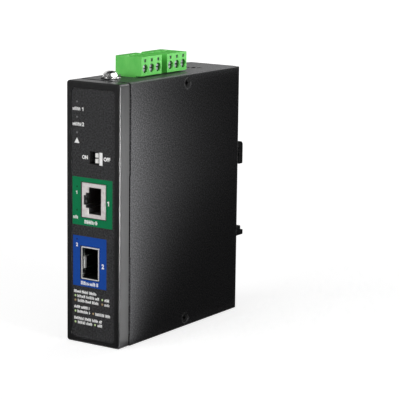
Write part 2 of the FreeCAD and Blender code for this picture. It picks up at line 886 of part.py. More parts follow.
def clamp_cage(pole_y):
    """Rectangular cage round the contact bar, its thick wall bored for the screw."""
    z = (clamp_z - clamp_depth / 2, clamp_z + clamp_depth / 2)
    half = clamp_width / 2
    inner_half = half - clamp_side_wall
    cage = box((cage_low_x, cage_high_x), (pole_y - half, pole_y + half), z)
    hollow = box((cage_in_low_x, cage_in_high_x), (pole_y - inner_half, pole_y + inner_half), z)
    bore = rod(clamp_screw_shank + clamp_screw_play, vec(cage_in_high_x, pole_y, clamp_z),
               vec(cage_high_x, pole_y, clamp_z))
    return cage.cut([hollow, bore])


def terminal_screw(pole_y):
    """Slotted screw along X, held between the contact bar and the plug's wall."""
    tip = vec(bar_high_x + clamp_screw_tip_gap, pole_y, clamp_z)
    head = vec(screw_head_x, pole_y, clamp_z)
    top = vec(screw_top_x, pole_y, clamp_z)
    screw = joined([rod(clamp_screw_shank, tip, head), rod(clamp_screw_head, head, top)])
    slot = box((screw_top_x - clamp_slot_depth, screw_top_x),
               (pole_y - clamp_screw_head, pole_y + clamp_screw_head),
               (clamp_z - clamp_slot_width / 2, clamp_z + clamp_slot_width / 2))
    return screw.cut(slot)


def switch_body():
    """Switch housing on the board, its slots facing the front window."""
    front_y = front_wall_rear + switch_panel_gap
    z = (switch_z - switch_width / 2, switch_z + switch_width / 2)
    body = box((board_x, board_x + switch_height), (front_y, front_y + switch_depth), z)
    knob_high = window_high_x - knob_end_gap
    slot_x = (knob_high - knob_length - slider_travel - slider_play, knob_high + slider_play)
    over = slider_base_over + switch_cavity_play
    cavity_y = front_y + switch_wall
    cavity_half = slider_pitch / 2 + slider_base_width / 2 + switch_cavity_play / 2
    cutters = [box((slot_x[0] - over, slot_x[1] + over), (cavity_y, cavity_y + switch_cavity_depth),
                   (switch_z - cavity_half, switch_z + cavity_half))]
    for slider_z in slider_heights:
        half = knob_width / 2 + slider_play
        cutters.append(box(slot_x, (front_y, cavity_y), (slider_z - half, slider_z + half)))
    return body.cut(cutters)


def switch_slider(slider_z):
    """Slider with a wide foot inside the housing and a knob that stands out in the window."""
    high_x = window_high_x - knob_end_gap
    low_x = high_x - knob_length
    cavity_y = front_wall_rear + switch_panel_gap + switch_wall
    foot_y = cavity_y + (switch_cavity_depth - slider_base_thick) / 2
    half = knob_width / 2
    knob = box((low_x, high_x), (knob_front_y, foot_y), (slider_z - half, slider_z + half))
    foot = box((low_x - slider_base_over, high_x + slider_base_over), (foot_y, foot_y + slider_base_thick),
               (slider_z - slider_base_width / 2, slider_z + slider_base_width / 2))
    return joined([knob, foot])


def jack_mouth(over, y):
    """Plug opening: a wide mouth with two latch steps towards the board."""
    base = board_x + jack_mouth_base
    levels = ((base, base + jack_mouth_height, jack_mouth_width),
              (base - jack_step_height, base, jack_step_width),
              (base - jack_step_height - jack_key_height, base - jack_step_height, jack_key_width))
    steps = []
    for low, high, width in levels:
        half = width / 2 + over
        steps.append(box((low - over, high + over), y, (jack_z - half, jack_z + half)))
    return joined(steps)


def jack_shield():
    """Metal shell with a stepped mouth, open towards the board."""
    half = jack_width / 2
    rear_y = jack_front_y + jack_depth
    top_x = board_x + jack_height
    shell = box((board_x, top_x), (jack_front_y, rear_y), (jack_z - half, jack_z + half))
    hollow = box((board_x, top_x - jack_wall), (jack_front_y + jack_wall, rear_y - jack_wall),
                 (jack_z - half + jack_wall, jack_z + half - jack_wall))
    mouth = jack_mouth(0, (jack_front_y, jack_front_y + jack_wall))
    return shell.cut([hollow, mouth])


def jack_insert():
    """Moulded insert with the plug cavity."""
    inset = jack_wall + jack_insert_gap
    half = jack_width / 2 - inset
    front_y = jack_front_y + inset
    body = box((board_x, board_x + jack_height - inset), (front_y, jack_front_y + jack_depth - inset),
               (jack_z - half, jack_z + half))
    return body.cut(jack_mouth(jack_insert_gap, (front_y, front_y + jack_mouth_depth)))


def jack_contacts():
    """Spring wires that fold back from the mouth, along the wall opposite the latch."""
    wall_x = board_x + jack_mouth_base + jack_mouth_height + jack_insert_gap
    rear_y = jack_front_y + jack_wall + jack_insert_gap + jack_mouth_depth
    leg_x = wall_x - contact_thick
    end_y = rear_y - contact_thick
    low_x = wall_x - contact_drop
    points = [(wall_x, rear_y), (wall_x, contact_bend_y), (leg_x, contact_bend_y),
              (low_x, end_y - 2 * contact_thick), (low_x, end_y - contact_thick),
              (leg_x, contact_bend_y + contact_drop), (leg_x, rear_y)]
    wires = []
    for k in range(contact_count):
        z = jack_z + (k - (contact_count - 1) / 2) * contact_pitch - contact_width / 2
        wires.append(outline(points, [0] * len(points), across_z(z)).extrude(vec(0, 0, contact_width)))
    return Part.makeCompound(wires)


def cage_box(over, y):
    """Block round the cage, grown by over on its four long sides."""
    half = cage_width / 2 + over
    return box((board_x - over, board_x + cage_height + over), y, (cage_z - half, cage_z + half))


def fibre_cage():
    """Open-fronted cage with a latch tongue in its lower wall and a gap for the connector."""
    rear_y = cage_front_y + cage_depth
    cage = cage_box(0, (cage_front_y, rear_y)).cut(cage_box(-cage_wall, (cage_front_y, rear_y - cage_wall)))
    tongue_end = cage_front_y + latch_length
    half = latch_width / 2
    window = box((board_x, board_x + cage_wall), (cage_front_y, tongue_end),
                 (cage_z - half - latch_slit, cage_z + half + latch_slit))
    socket_half = socket_width / 2 + latch_slit
    gap = box((board_x, board_x + cage_wall), (socket_y - latch_slit, socket_y + socket_length + latch_slit),
              (cage_z - socket_half, cage_z + socket_half))
    points = [(board_x, tongue_end), (board_x + latch_rise, cage_front_y),
              (board_x + latch_rise + cage_wall, cage_front_y), (board_x + cage_wall, tongue_end)]
    tongue = outline(points, [0] * 4, across_z(cage_z - half)).extrude(vec(0, 0, latch_width))
    return joined([cage.cut([window, gap]), tongue])


def finger_places(length):
    """Places of the slits along one side, about its middle."""
    count = int(length / finger_pitch)
    return [(k - (count - 1) / 2) * finger_pitch for k in range(count)]


def fibre_gasket():
    """Spring gasket folded over the cage's front edge, slit into fingers behind its band."""
    rear_y = board_front_y - gasket_board_gap
    collar = cage_box(gasket_wall, (gasket_front_y, rear_y))
    lip = cage_box(-cage_wall, (gasket_front_y, cage_front_y))
    inside = cage_box(0, (cage_front_y, rear_y))
    slit_y = (gasket_front_y + gasket_band, rear_y)
    reach = cage_width
    half = finger_slit / 2
    slits = []
    for place in finger_places(cage_width):
        z = (cage_z + place - half, cage_z + place + half)
        slits.append(box((board_x - reach, board_x + cage_height + reach), slit_y, z))
    for place in finger_places(cage_height):
        x = board_x + cage_height / 2 + place
        slits.append(box((x - half, x + half), slit_y, (cage_z - reach, cage_z + reach)))
    return collar.cut([lip, inside] + slits)


def fibre_connector():
    """Card-edge connector at the cage's inner end."""
    half = socket_width / 2
    body = box((board_x, board_x + socket_height), (socket_y, socket_y + socket_length),
               (cage_z - half, cage_z + half))
    slot_x = board_x + card_slot_base
    slot_half = card_slot_width / 2
    return body.cut(box((slot_x, slot_x + card_slot_height), (socket_y, socket_y + card_slot_depth),
                        (cage_z - slot_half, cage_z + slot_half)))


def main_board():
    """Circuit board with mounting holes and square plated slots for the header pins."""
    board = box((board_back_x, board_x), (board_front_y, board_rear_y), (board_end_gap, board_top_z))
    holes = []
    for y, z in standoff_spots():
        holes.append(rod(board_screw_shank + board_hole_play, vec(board_back_x, y, z), vec(board_x, y, z)))
    half = pin_side / 2 + pin_hole_play
    z = pin_tail_z + pin_side / 2
    for terminal_y in terminal_ys:
        for y in pole_ys(terminal_y):
            holes.append(box((board_back_x, board_x), (y - half, y + half), (z - half, z + half)))
    return board.cut(holes)


def board_standoffs():
    """Welded hexagonal standoffs between the left flanges and the board."""
    posts = []
    for y, z in standoff_spots():
        posts.append(hex_nut(standoff_radius, standoff_bore, vec(-flange_inner, y, z),
                             vec(board_back_x, y, z)))
    return Part.makeCompound(posts)


def board_screws():
    screws = []
    for y, z in standoff_spots():
        face = vec(board_x, y, z)
        head = rod(board_screw_head, face, face + vec(board_screw_head_height, 0, 0))
        screws.append(joined([head, rod(board_screw_shank, face - vec(board_screw_length, 0, 0), face)]))
    return Part.makeCompound(screws)


def component(size, spot):
    """Block on the board; spot is measured from the board's lower front corner."""
    y = board_front_y + spot[0]
    z = board_end_gap + spot[1]
    return box((board_x, board_x + size[0]), (y, y + size[1]), (z, z + size[2]))


def chip(size, spot, edge):
    """Moulded package with bevelled upper edges."""
    body = component(size, spot)
    top = [e for e in body.Edges if e.BoundBox.XMin > board_x + size[0] - 1e-6]
    return body.makeChamfer(edge, top)


def thermal_pad():
    y = board_front_y + phy_spot[0]
    z = board_end_gap + phy_spot[1]
    low_x = board_x + phy_size[0]
    return box((low_x, low_x + pad_thick), (y + pad_inset, y + phy_size[1] - pad_inset),
               (z + pad_inset, z + phy_size[2] - pad_inset))


def heat_sink():
    """Finned block on the transceiver's pad, fins upright."""
    low_x = board_x + phy_size[0] + pad_thick
    y = (board_front_y + phy_spot[0] - sink_over, board_front_y + phy_spot[0] + phy_size[1] + sink_over)
    z = (board_end_gap + phy_spot[1] - sink_over, board_end_gap + phy_spot[1] + phy_size[2] + sink_over)
    block = box((low_x, low_x + sink_height), y, z)
    pitch = (y[1] - y[0] - sink_fin) / (sink_fins - 1)
    gaps = []
    for k in range(sink_fins - 1):
        start = y[0] + sink_fin + k * pitch
        gaps.append(box((low_x + sink_base, low_x + sink_height), (start, start + pitch - sink_fin), z))
    return block.cut(gaps)


def power_transformer():
    """Potted transformer: a split core round a wound bobbin."""
    height, length, width = transformer_size
    y = board_front_y + transformer_spot[0]
    z = board_end_gap + transformer_spot[1]
    core = box((board_x, board_x + height), (y, y + length), (z, z + width))
    inside = box((board_x + transformer_flange, board_x + height - transformer_flange),
                 (y + transformer_flange, y + length - transformer_flange), (z, z + width))
    centre_x = board_x + height / 2
    winding_radius = height / 2 - transformer_flange - winding_gap
    winding = rod(winding_radius, vec(centre_x, y + transformer_flange, z + width / 2),
                  vec(centre_x, y + length - transformer_flange, z + width / 2))
    return joined([core.cut(inside), winding])


def power_inductors():
    coils = []
    for spot in inductor_spots:
        body = component(inductor_size, spot)
        uprights = edges_along(body, vec(1, 0, 0), lambda c: True)
        coils.append(body.makeChamfer(inductor_chamfer, uprights))
    return Part.makeCompound(coils)


def capacitors():
    """Can capacitors with a chamfered crown."""
    cans = []
    for spot in capacitor_spots:
        base = vec(board_x, board_front_y + spot[0], board_end_gap + spot[1])
        top = base + vec(capacitor_height, 0, 0)
        crown = top - vec(capacitor_bead, 0, 0)
        cap = cone(capacitor_radius, capacitor_radius - capacitor_bead, crown, top)
        cans.append(joined([rod(capacitor_radius, base, crown), cap]))
    return Part.makeCompound(cans)


def status_leds():
    half = led_width / 2
    x = (board_back_x - led_height, board_back_x)
    y = (board_front_y, board_front_y + led_depth)
    return Part.makeCompound([box(x, y, (z - half, z + half)) for z in light_heights])


def light_pipes():
    """Clear square posts from the overlay's back to the lights, with a collar behind the front wall."""
    pipes = []
    for z in light_heights:
        post = light_post(0, (overlay_recess, board_front_y - led_gap), z)
        collar = light_post(pipe_collar_over, (front_wall_rear, front_wall_rear + pipe_collar), z)
        pipes.append(joined([post, collar]))
    return Part.makeCompound(pipes)


def all_parts():
    parts = {
        "front_bezel": front_bezel(),
        "front_overlay": front_overlay(),
        "chassis": chassis(),
        "wrap_cover": wrap_cover(),
        "cover_screws": cover_screws(),
        "ground_screw": ground_screw(),
        "ground_washer": ground_washer(),
        "ground_nut": ground_nut(),
        "rail_bracket": rail_bracket(),
        "rail_spring": rail_spring(),
        "spring_pin": spring_pin(),
        "bracket_screws": bracket_screws(),
        "bracket_nuts": bracket_nuts(),
        "switch_body": switch_body(),
        "rj45_shield": jack_shield(),
        "rj45_insert": jack_insert(),
        "rj45_contacts": jack_contacts(),
        "sfp_cage": fibre_cage(),
        "sfp_gasket": fibre_gasket(),
        "sfp_connector": fibre_connector(),
        "main_board": main_board(),
        "board_standoffs": board_standoffs(),
        "board_screws": board_screws(),
        "magnetics": chip(magnetics_size, magnetics_spot, component_edge),
        "phy_chip": chip(phy_size, phy_spot, component_edge),
        "thermal_pad": thermal_pad(),
        "heat_sink": heat_sink(),
        "port_chip": chip(port_chip_size, port_chip_spot, component_edge / 2),
        "poe_controller": chip(controller_size, controller_spot, component_edge / 2),
        "power_transformer": power_transformer(),
        "power_inductors": power_inductors(),
        "capacitors": capacitors(),
        "alarm_relay": chip(relay_size, relay_spot, component_edge),
        "status_leds": status_leds(),
        "light_pipes": light_pipes(),
    }
    for k, slider_z in enumerate(slider_heights, start=1):
        parts[f"switch_slider_{k}"] = switch_slider(slider_z)
    pole = 0
    for k, terminal_y in enumerate(terminal_ys, start=1):
        parts[f"terminal_header_{k}"] = terminal_header(terminal_y)
        parts[f"header_pins_{k}"] = header_pins(terminal_y)
        parts[f"terminal_plug_{k}"] = terminal_plug(terminal_y)
        parts[f"plug_contacts_{k}"] = plug_contacts(terminal_y)
        for pole_y in pole_ys(terminal_y):
            pole += 1
            parts[f"terminal_screw_{pole}"] = terminal_screw(pole_y)
            parts[f"clamp_cage_{pole}"] = clamp_cage(pole_y)
    return parts


# The origin lies under the middle of the whole object, on the surface that it stands on
origin_shift = vec(0, -overall_depth / 2, 0)
os.makedirs("parts", exist_ok=True)
for name, shape in all_parts().items():
    shape.translated(origin_shift).exportStep(f"parts/{name}.step")
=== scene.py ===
import math
import random

import bmesh
import bpy
from mathutils import Matrix, Vector


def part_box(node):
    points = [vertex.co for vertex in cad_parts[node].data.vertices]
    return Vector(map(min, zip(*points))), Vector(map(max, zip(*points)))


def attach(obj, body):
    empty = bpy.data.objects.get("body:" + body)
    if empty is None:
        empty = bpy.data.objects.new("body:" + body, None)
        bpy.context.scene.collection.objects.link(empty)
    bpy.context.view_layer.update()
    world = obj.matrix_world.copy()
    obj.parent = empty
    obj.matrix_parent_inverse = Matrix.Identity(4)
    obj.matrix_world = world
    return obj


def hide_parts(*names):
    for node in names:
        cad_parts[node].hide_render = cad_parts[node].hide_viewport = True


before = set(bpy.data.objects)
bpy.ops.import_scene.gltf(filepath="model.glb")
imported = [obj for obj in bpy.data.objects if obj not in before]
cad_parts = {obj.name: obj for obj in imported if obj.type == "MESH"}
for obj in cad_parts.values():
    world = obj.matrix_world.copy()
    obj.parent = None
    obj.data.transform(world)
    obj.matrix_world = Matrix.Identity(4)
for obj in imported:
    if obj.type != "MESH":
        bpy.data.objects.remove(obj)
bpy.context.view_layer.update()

# Lengths are in millimetres, measured on the case, down to the studio; this takes them to metres
mm = 0.001

# Meshes: what counts as one point, as a sliver, as one flat, as a sharp edge and as a crease in the shading
merge_gap = 0.002
sliver = 0.0005
flat_angle = math.radians(0.5)
sharp_angle = math.radians(40)
crease_angle = math.radians(38)

# Finishes: how fine the noise is, and the parts of its range that make patches of gloss and runs of wear
# and painted highlight
noise_detail = 2.0
gloss_range = (0.3, 0.7)
wear_and_highlight_range = (0.35, 0.65)

# How much the edges of the construction's visible pieces are eased, and in how many steps
ease_steps = 3
edge_ease = {
    "front_bezel": 0.12, "chassis": 0.1, "wrap_cover": 0.12, "rail_bracket": 0.2, "ground_washer": 0.06,
    "rj45_shield": 0.06, "sfp_cage": 0.04, "sfp_gasket": 0.05, "switch_slider_1": 0.18,
    "switch_slider_2": 0.18, "terminal_plug_1": 0.12, "terminal_plug_2": 0.12,
}

# Front printing: distances from the middle of the front and heights above the foot; a field or bar is given
# by its left, right, bottom and top
ink_thick = 0.015
copper_field = (-11.75, 10.7, 54.8, 76.7)
fibre_field = (-11.45, 7.45, 26.5, 49.75)
field_gap = 0.35
# On the left of each port the gap is wider, so the black film shows as a painted shadow line
field_left_shade_gap = 0.8
switch_bar = (3.45, 5.15, 83.05, 88.85)

# Figures and words, by their middle and size; a plain triangle, by its middle and radius
letter_size = 2.3
letter_width = 0.88
letter_weight = 0.045
figure_ones = ((-5.75, 107.5, letter_size), (8.6, 66.2, 2.9), (-9.2, 69.5, 2.1))
words = (("2", -5.75, 100.6, letter_size), ("ON", -4.6, 85.9, letter_size),
         ("OFF", 7.6, 86.0, letter_size), ("2", 5.45, 37.0, 2.9), ("2", -9.2, 45.4, 2.2))
triangle = (-9.2, 92.85, 1.65)

# A figure 1: its stem and half height as parts of its size, and its flag's reach, foot and head in stems
one_stem = 0.16
one_rise = 0.36
one_flag = (1.7, 1.6, 0.5)

# Captions in small type, by their start, end, height on the front and height of type
captions = ((-11.6, -6.6, 107.5, 1.5), (-11.6, -6.6, 100.6, 1.5), (-11.3, -8.3, 58.2, 1.5),
            (-4.9, 2.6, 56.55, 1.7), (-6.9, 2.9, 28.1, 1.7))

# Legend: each row's height on the front, its runs of small type, and its lime and amber bullets
legend_height = 1.35
bullet_radius = 0.5
legend = (
    (23.8, ((-10.9, 2.0),), (), ()),
    (21.7, ((-8.9, 3.5), (6.5, 9.4)), (-10.1, 5.2), ()),
    (19.6, ((-8.7, 3.0), (6.5, 9.4)), (), (-10.1, 5.2)),
    (16.6, ((-10.8, -2.1),), (), ()),
    (14.5, ((-8.95, -1.5), (1.35, 9.8)), (-10.1,), (0.05,)),
    (11.3, ((-10.8, 5.2),), (), ()),
    (9.4, ((-8.7, -0.4), (2.6, 5.3)), (-10.1, 1.1), ()),
)

# Strokes of small type: their width, the heights they may have and where a bar may join two of them, as
# parts of the height of type, and the gaps after them, in strokes; a line's start and height on the front,
# times the seed's weights, seed its own draws
stroke = 0.33
stroke_rises = (0.75, 1.0, 1.0)
stroke_bars = (0, 0, 0.4, 0.8)
stroke_gap = (0.5, 0.9)
word_gap = 2.2
word_strokes = 5
word_chance = 0.25
seed_weights = (100, 10)

# Light windows: their place across the front, radius and sides, and each row's heights and film
light_x = -9.15
light_radius = 0.45
light_sides = 24
light_rows = (("status", (110.7, 103.8, 96.8), "grey"), ("copper_port", (72.2, 61.5), "green"),
              ("fibre_port", (48.1,), "blue"))

# Latch tongue in the module cage: where its lip lies and how far in it gets a bright finish as a painted
# highlight
tongue_foot = 0.1
tongue_rise = 1.3
tongue_half = 2.65
tongue_highlight_depth = 1.6

# Width of the bright outer edge of the gasket; inside it the lip is painted dark as shade
lip_bright = 0.4

# Vents: the left, right, front and rear of the part of the top panel where their walls are painted with
# shade, a height just under that panel, and how far a wall's normal may point up or down
vent_zone = (-2.6, 6.0, 20.5, 26.3)
panel_under = 118.9
wall_slope = 0.95

# Sliders and plugs are numbered as pairs, and the clamps run on through both plugs
pair = (1, 2)
poles = 3
clamps = range(1, len(pair) * poles + 1)

# Terminal plugs: their gap over the top panel, how far their lower face is lifted to open it, how far up
# the plug the lift fades out, and what counts as the lower face
plug_gap = 0.25
plug_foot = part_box("chassis")[1].z + plug_gap * mm
plug_lift = 0.35
plug_lift_reach = 1.0
plug_foot_play = 0.01

# Screws: how many sides they have, and how much of a crossed recess is left at its floor
screw_sides = 48
recess_taper = 0.55

# Cover and bracket screws: a flush head, dished inside a rim with a painted highlight ring; a recess is
# given by its reach, half width and depth
cover_head = 2.6
cover_rim = 0.3
cover_round = 0.1
cover_cone = 1
cover_shank = 1.5
cover_screw_reach = 4.3
cover_dish = 0.5
cover_dish_floor = 1.5
cover_recess = (1.25, 0.3, 0.7)
cover_highlight_ring = 0.32
cover_highlight_depth = 0.2

# Ground screw: a domed head; the dome is given by radii and heights from its flat
ground_head = 3.55
ground_rise = 2.4
ground_flat = 1.95
ground_round = 0.1
ground_shank = 1.95
ground_recess = (1.6, 0.36, 1.3)
ground_dome = ((2.5, -0.25), (3.05, -0.62), (3.42, -1.1), (ground_head, -1.6))

# Terminal screws: a slotted head, with a gap round it
clamp_head_gap = 0.35
clamp_head_height = 1.1
clamp_shank = 1.25
slot_half = 0.3
slot_depth = 0.6
crown_round = 0.12
crown_steps = 2
crown_play = 1e-5

# Test points above the terminal screws, each closed by a dark plate that stands in for the shade inside it
test_side = 1.5
test_drop = 1.75
test_depth = 0.5
test_thick = 0.1

# Studio, in metres: where the camera stood, its turns in degrees, and its lens and sensor in millimetres
camera_place = (0.46525, -0.65830, 0.21401)
camera_azimuth = 33.936
camera_elevation = 10.867
camera_roll = 0.743
camera_lens = 156.16
camera_sensor = 36
camera_near = 0.01

# Floor: its side, how far below the foot it lies, its grey, and two distances from the case with the level
# of white that is seen there
floor_side = 12
floor_drop = 0.0001
floor_grey = 0.5
floor_near = (0.2, 0.68)
floor_far = (1.2, 0.93)

# Surroundings: the light they give, and how white they are seen
world_light = 0.35
world_seen = 1.0

# Soft boxes, turned to the middle of the case: place, width, height and brightness
case_middle = (0, 0, 0.06)
soft_boxes = {
    "front_box": ((-0.35, -0.96, 0.50), 0.9, 0.9, 2.7),
    "side_box": ((0.92, -0.12, 0.25), 0.3, 0.6, 7.0),
    "rear_box": ((0.05, 1.0, 0.65), 0.6, 0.6, 2.0),
}

# Beside each side of the case, at one depth: a panel with a fan of light and a dark flag at its foot, by
# how far out and how high they stand, width, height and level
side_depth = 0.1005
fan_panel = (0.02, 0.06, 0.299, 0.119, 2.95)
foot_flag = (0.0177, 0.0003, 0.005, 0.299, 0)

# Other panels that show only in the sheen of a surface: place, facing, width, height and level
sheen_panels = {
    "terminal_panel": ((0.0165, 0.03, 0.1505), (1, 0, 0), 0.17, 0.06, 3.3),
    "terminal_flag": ((-0.0095, 0.002, 0.16), (1, 0, 0), 0.061, 0.064, 0),
    "edge_panel": ((0.204, -0.118, 0.042), (-0.945, 0.326, 0), 0.063, 0.08, 96),
    "front_card": ((-0.22, -0.12, 0.25), (0, 1, 0), 0.56, 0.5, 0.12),
    "front_flag": ((-0.1, -0.0865, 0.0003), (0, 0, 1), 0.3, 0.067, 0.03),
    "camera_card": ((0.30, -0.45, 0.12), (-0.55, 0.83, 0), 0.42, 0.24, 0.02),
    "roof_card": ((0, 0, 0.6), (0, 0, 1), 0.9, 0.9, 0.04),
    "back_card": ((-0.2, 0.3, 0.235), (0, -1, 0), 0.6, 0.23, 0.72),
}

# Where the fan of light on a side starts, as depth and height, how high it opens and how fast it fades
fan_corner = (-0.0414, -0.0152)
fan_height = 0.0713
fan_fall = 0.0166
fan_bend = 1.05
fan_top = 0.095
fan_top_fall = 1e-8

# Sockets of a Mix node that carry colours: the one under, the one over and the result
mix_under, mix_over, mix_result = 6, 7, 2


def math_step(tree, operation, *values):
    """A Math node's result; each value is a number or the socket that gives it."""
    node = tree.nodes.new("ShaderNodeMath")
    node.operation = operation
    for socket, value in zip(node.inputs, values):
        if isinstance(value, bpy.types.NodeSocket):
            tree.links.new(value, socket)
        else:
            socket.default_value = value
    return node.outputs["Value"]


def map_range(tree, value, start, end, low=0.0, high=1.0):
    """Takes a value from the range start to end on to the range low to high."""
    ranged = tree.nodes.new("ShaderNodeMapRange")
    for name, number in (("From Min", start), ("From Max", end), ("To Min", low), ("To Max", high)):
        ranged.inputs[name].default_value = number
    tree.links.new(value, ranged.inputs["Value"])
    return ranged.outputs["Result"]


class Finish:
    """A procedural material: a base colour to which grain, flecks and wear are added."""

    def __init__(self, name, colour, roughness, metallic=0.0, specular=0.5):
        self.name = name
        self.material = bpy.data.materials.new(name)
        self.material.use_nodes = True
        self.tree = self.material.node_tree
        self.shader = self.tree.nodes["Principled BSDF"]
        self.place = self.tree.nodes.new("ShaderNodeTexCoord").outputs["Object"]
        self.colour = (*colour, 1)
        self.coloured = None
        self.normal = None
        self.shader.inputs["Base Color"].default_value = self.colour
        self.shader.inputs["Roughness"].default_value = roughness
        self.shader.inputs["Metallic"].default_value = metallic
        self.shader.inputs["Specular IOR Level"].default_value = specular

    def noise(self, size, stretch=(1, 1, 1)):
        """Noise with grains about size across, drawn out by stretch."""
        scaled = self.tree.nodes.new("ShaderNodeMapping")
        scaled.inputs["Scale"].default_value = [1 / (size * mm * drawn) for drawn in stretch]
        texture = self.tree.nodes.new("ShaderNodeTexNoise")
        texture.inputs["Scale"].default_value = 1
        texture.inputs["Detail"].default_value = noise_detail
        self.tree.links.new(self.place, scaled.inputs["Vector"])
        self.tree.links.new(scaled.outputs["Vector"], texture.inputs["Vector"])
        return texture.outputs["Fac"]

    def lay(self, colour, amount):
        """Lays a second colour over the surface, as much as amount says."""
        mix = self.tree.nodes.new("ShaderNodeMix")
        mix.data_type = "RGBA"
        self.tree.links.new(amount, mix.inputs["Factor"])
        mix.inputs[mix_over].default_value = (*colour, 1)
        if self.coloured:
            self.tree.links.new(self.coloured, mix.inputs[mix_under])
        else:
            mix.inputs[mix_under].default_value = self.colour
        self.coloured = mix.outputs[mix_result]
        self.tree.links.new(self.coloured, self.shader.inputs["Base Color"])
        return self

    def mottle(self, colour, size, start=0.4, end=0.6, stretch=(1, 1, 1)):
        """Patches of a second colour, about size across."""
        return self.lay(colour, map_range(self.tree, self.noise(size, stretch), start, end))

    def gloss(self, low, high, size, stretch=(1, 1, 1)):
        """Roughness that wanders between low and high in patches about size across."""
        rough = map_range(self.tree, self.noise(size, stretch), *gloss_range, low, high)
        self.tree.links.new(rough, self.shader.inputs["Roughness"])
        return self

    def grain(self, size, depth, stretch=(1, 1, 1)):
        """Relief of that depth, with bumps about size across."""
        bump = self.tree.nodes.new("ShaderNodeBump")
        bump.inputs["Distance"].default_value = depth * mm
        self.tree.links.new(self.noise(size, stretch), bump.inputs["Height"])
        if self.normal:
            self.tree.links.new(self.normal, bump.inputs["Normal"])
        self.normal = bump.outputs["Normal"]
        self.tree.links.new(self.normal, self.shader.inputs["Normal"])
        return self

    def edge_wear_and_highlight(self, colour, size=1.5):
        """Rubbed edges in broken runs; on some finishes the lighter edges are also painted highlights."""
        edge = self.tree.nodes.new("ShaderNodeAttribute")
        edge.attribute_name = "edge"
        runs = map_range(self.tree, self.noise(size), *wear_and_highlight_range)
        return self.lay(colour, math_step(self.tree, "MULTIPLY", edge.outputs["Fac"], runs))


def shade(colour, amount):
    """A colour made darker or lighter."""
    return [amount * part for part in colour]


def moulding(name, colour, lighter, roughness, grain=0.25, depth=0.006, specular=0.5):
    """Injection-moulded plastic with the fine texture of its tool and faint flow marks."""
    finish = Finish(name, colour, roughness, specular=specular)
    finish.mottle(lighter, size=2.6, start=0.35, end=0.7, stretch=(1, 1, 2.2))
    finish.gloss(roughness - 0.06, roughness + 0.08, size=0.6)
    return finish.grain(grain, depth)


def sheet_metal(name, colour, darker, roughness, stretch=(1, 1, 1), metallic=1.0):
    """Bare or plated metal with rolling marks and cloudy patches; a dull plating is less metallic."""
    finish = Finish(name, colour, roughness, metallic=metallic)
    finish.mottle(darker, size=1.8, start=0.45, end=0.7)
    finish.gloss(roughness - 0.07, roughness + 0.12, size=0.5, stretch=stretch)
    return finish.grain(size=0.18, depth=0.003, stretch=stretch)


def powder_coat(name, colour, fleck):
    """Baked powder: a fine orange-peel skin with flecks that shine.

    Nearly all of its colour is in the sheen.
    """
    finish = Finish(name, colour, roughness=0.42, metallic=0.86)
    finish.mottle(fleck, size=0.6, start=0.41, end=0.76)
    finish.mottle(shade(fleck, 0.6), size=0.22, start=0.62, end=0.74)
    finish.gloss(low=0.34, high=0.52, size=0.45)
    finish.grain(size=0.95, depth=0.04)
    finish.grain(size=0.4, depth=0.014)
    # Lighter rubbed edges: partly wear, partly a painted highlight that picks out the black edges
    return finish.edge_wear_and_highlight(shade(fleck, 1.4))


def ink(name, colour):
    """Screen-printed ink, slightly uneven in cover."""
    finish = Finish(name, colour, roughness=0.46, specular=0.1)
    finish.mottle(shade(colour, 0.86), size=0.7, start=0.45, end=0.75)
    finish.gloss(low=0.4, high=0.56, size=0.35)
    return finish.grain(size=0.16, depth=0.003)


def front_film():
    """Textured black film of the front overlay."""
    finish = Finish("overlay_film", (0.013, 0.013, 0.014), roughness=0.5, specular=0.25)
    finish.mottle((0.048, 0.048, 0.05), size=0.75, start=0.36, end=0.7)
    finish.gloss(low=0.44, high=0.6, size=0.4)
    return finish.grain(size=0.14, depth=0.004)


def blacked_steel():
    """Black oxide on screws, with a light painted highlight ring at the rim."""
    finish = Finish("black_screw", (0.012, 0.012, 0.013), roughness=0.32, metallic=0.3)
    finish.mottle((0.03, 0.03, 0.03), size=0.6)
    finish.gloss(low=0.24, high=0.42, size=0.5)
    finish.grain(size=0.3, depth=0.006)
    # The light ring at the rim is a painted highlight
    return finish.edge_wear_and_highlight((0.17, 0.17, 0.17), size=0.8)


def laminate():
    """Green solder mask over copper tracks."""
    finish = Finish("board_laminate", (0.012, 0.075, 0.035), roughness=0.32)
    track_pitch = 2.4
    tracks = finish.tree.nodes.new("ShaderNodeTexVoronoi")
    tracks.distance = "MANHATTAN"
    tracks.inputs["Scale"].default_value = 1 / (track_pitch * mm)
    finish.tree.links.new(finish.place, tracks.inputs["Vector"])
    finish.lay((0.03, 0.16, 0.07), map_range(finish.tree, tracks.outputs["Distance"], start=0.34, end=0.4))
    finish.gloss(low=0.25, high=0.4, size=1.5)
    return finish.grain(size=0.6, depth=0.008)


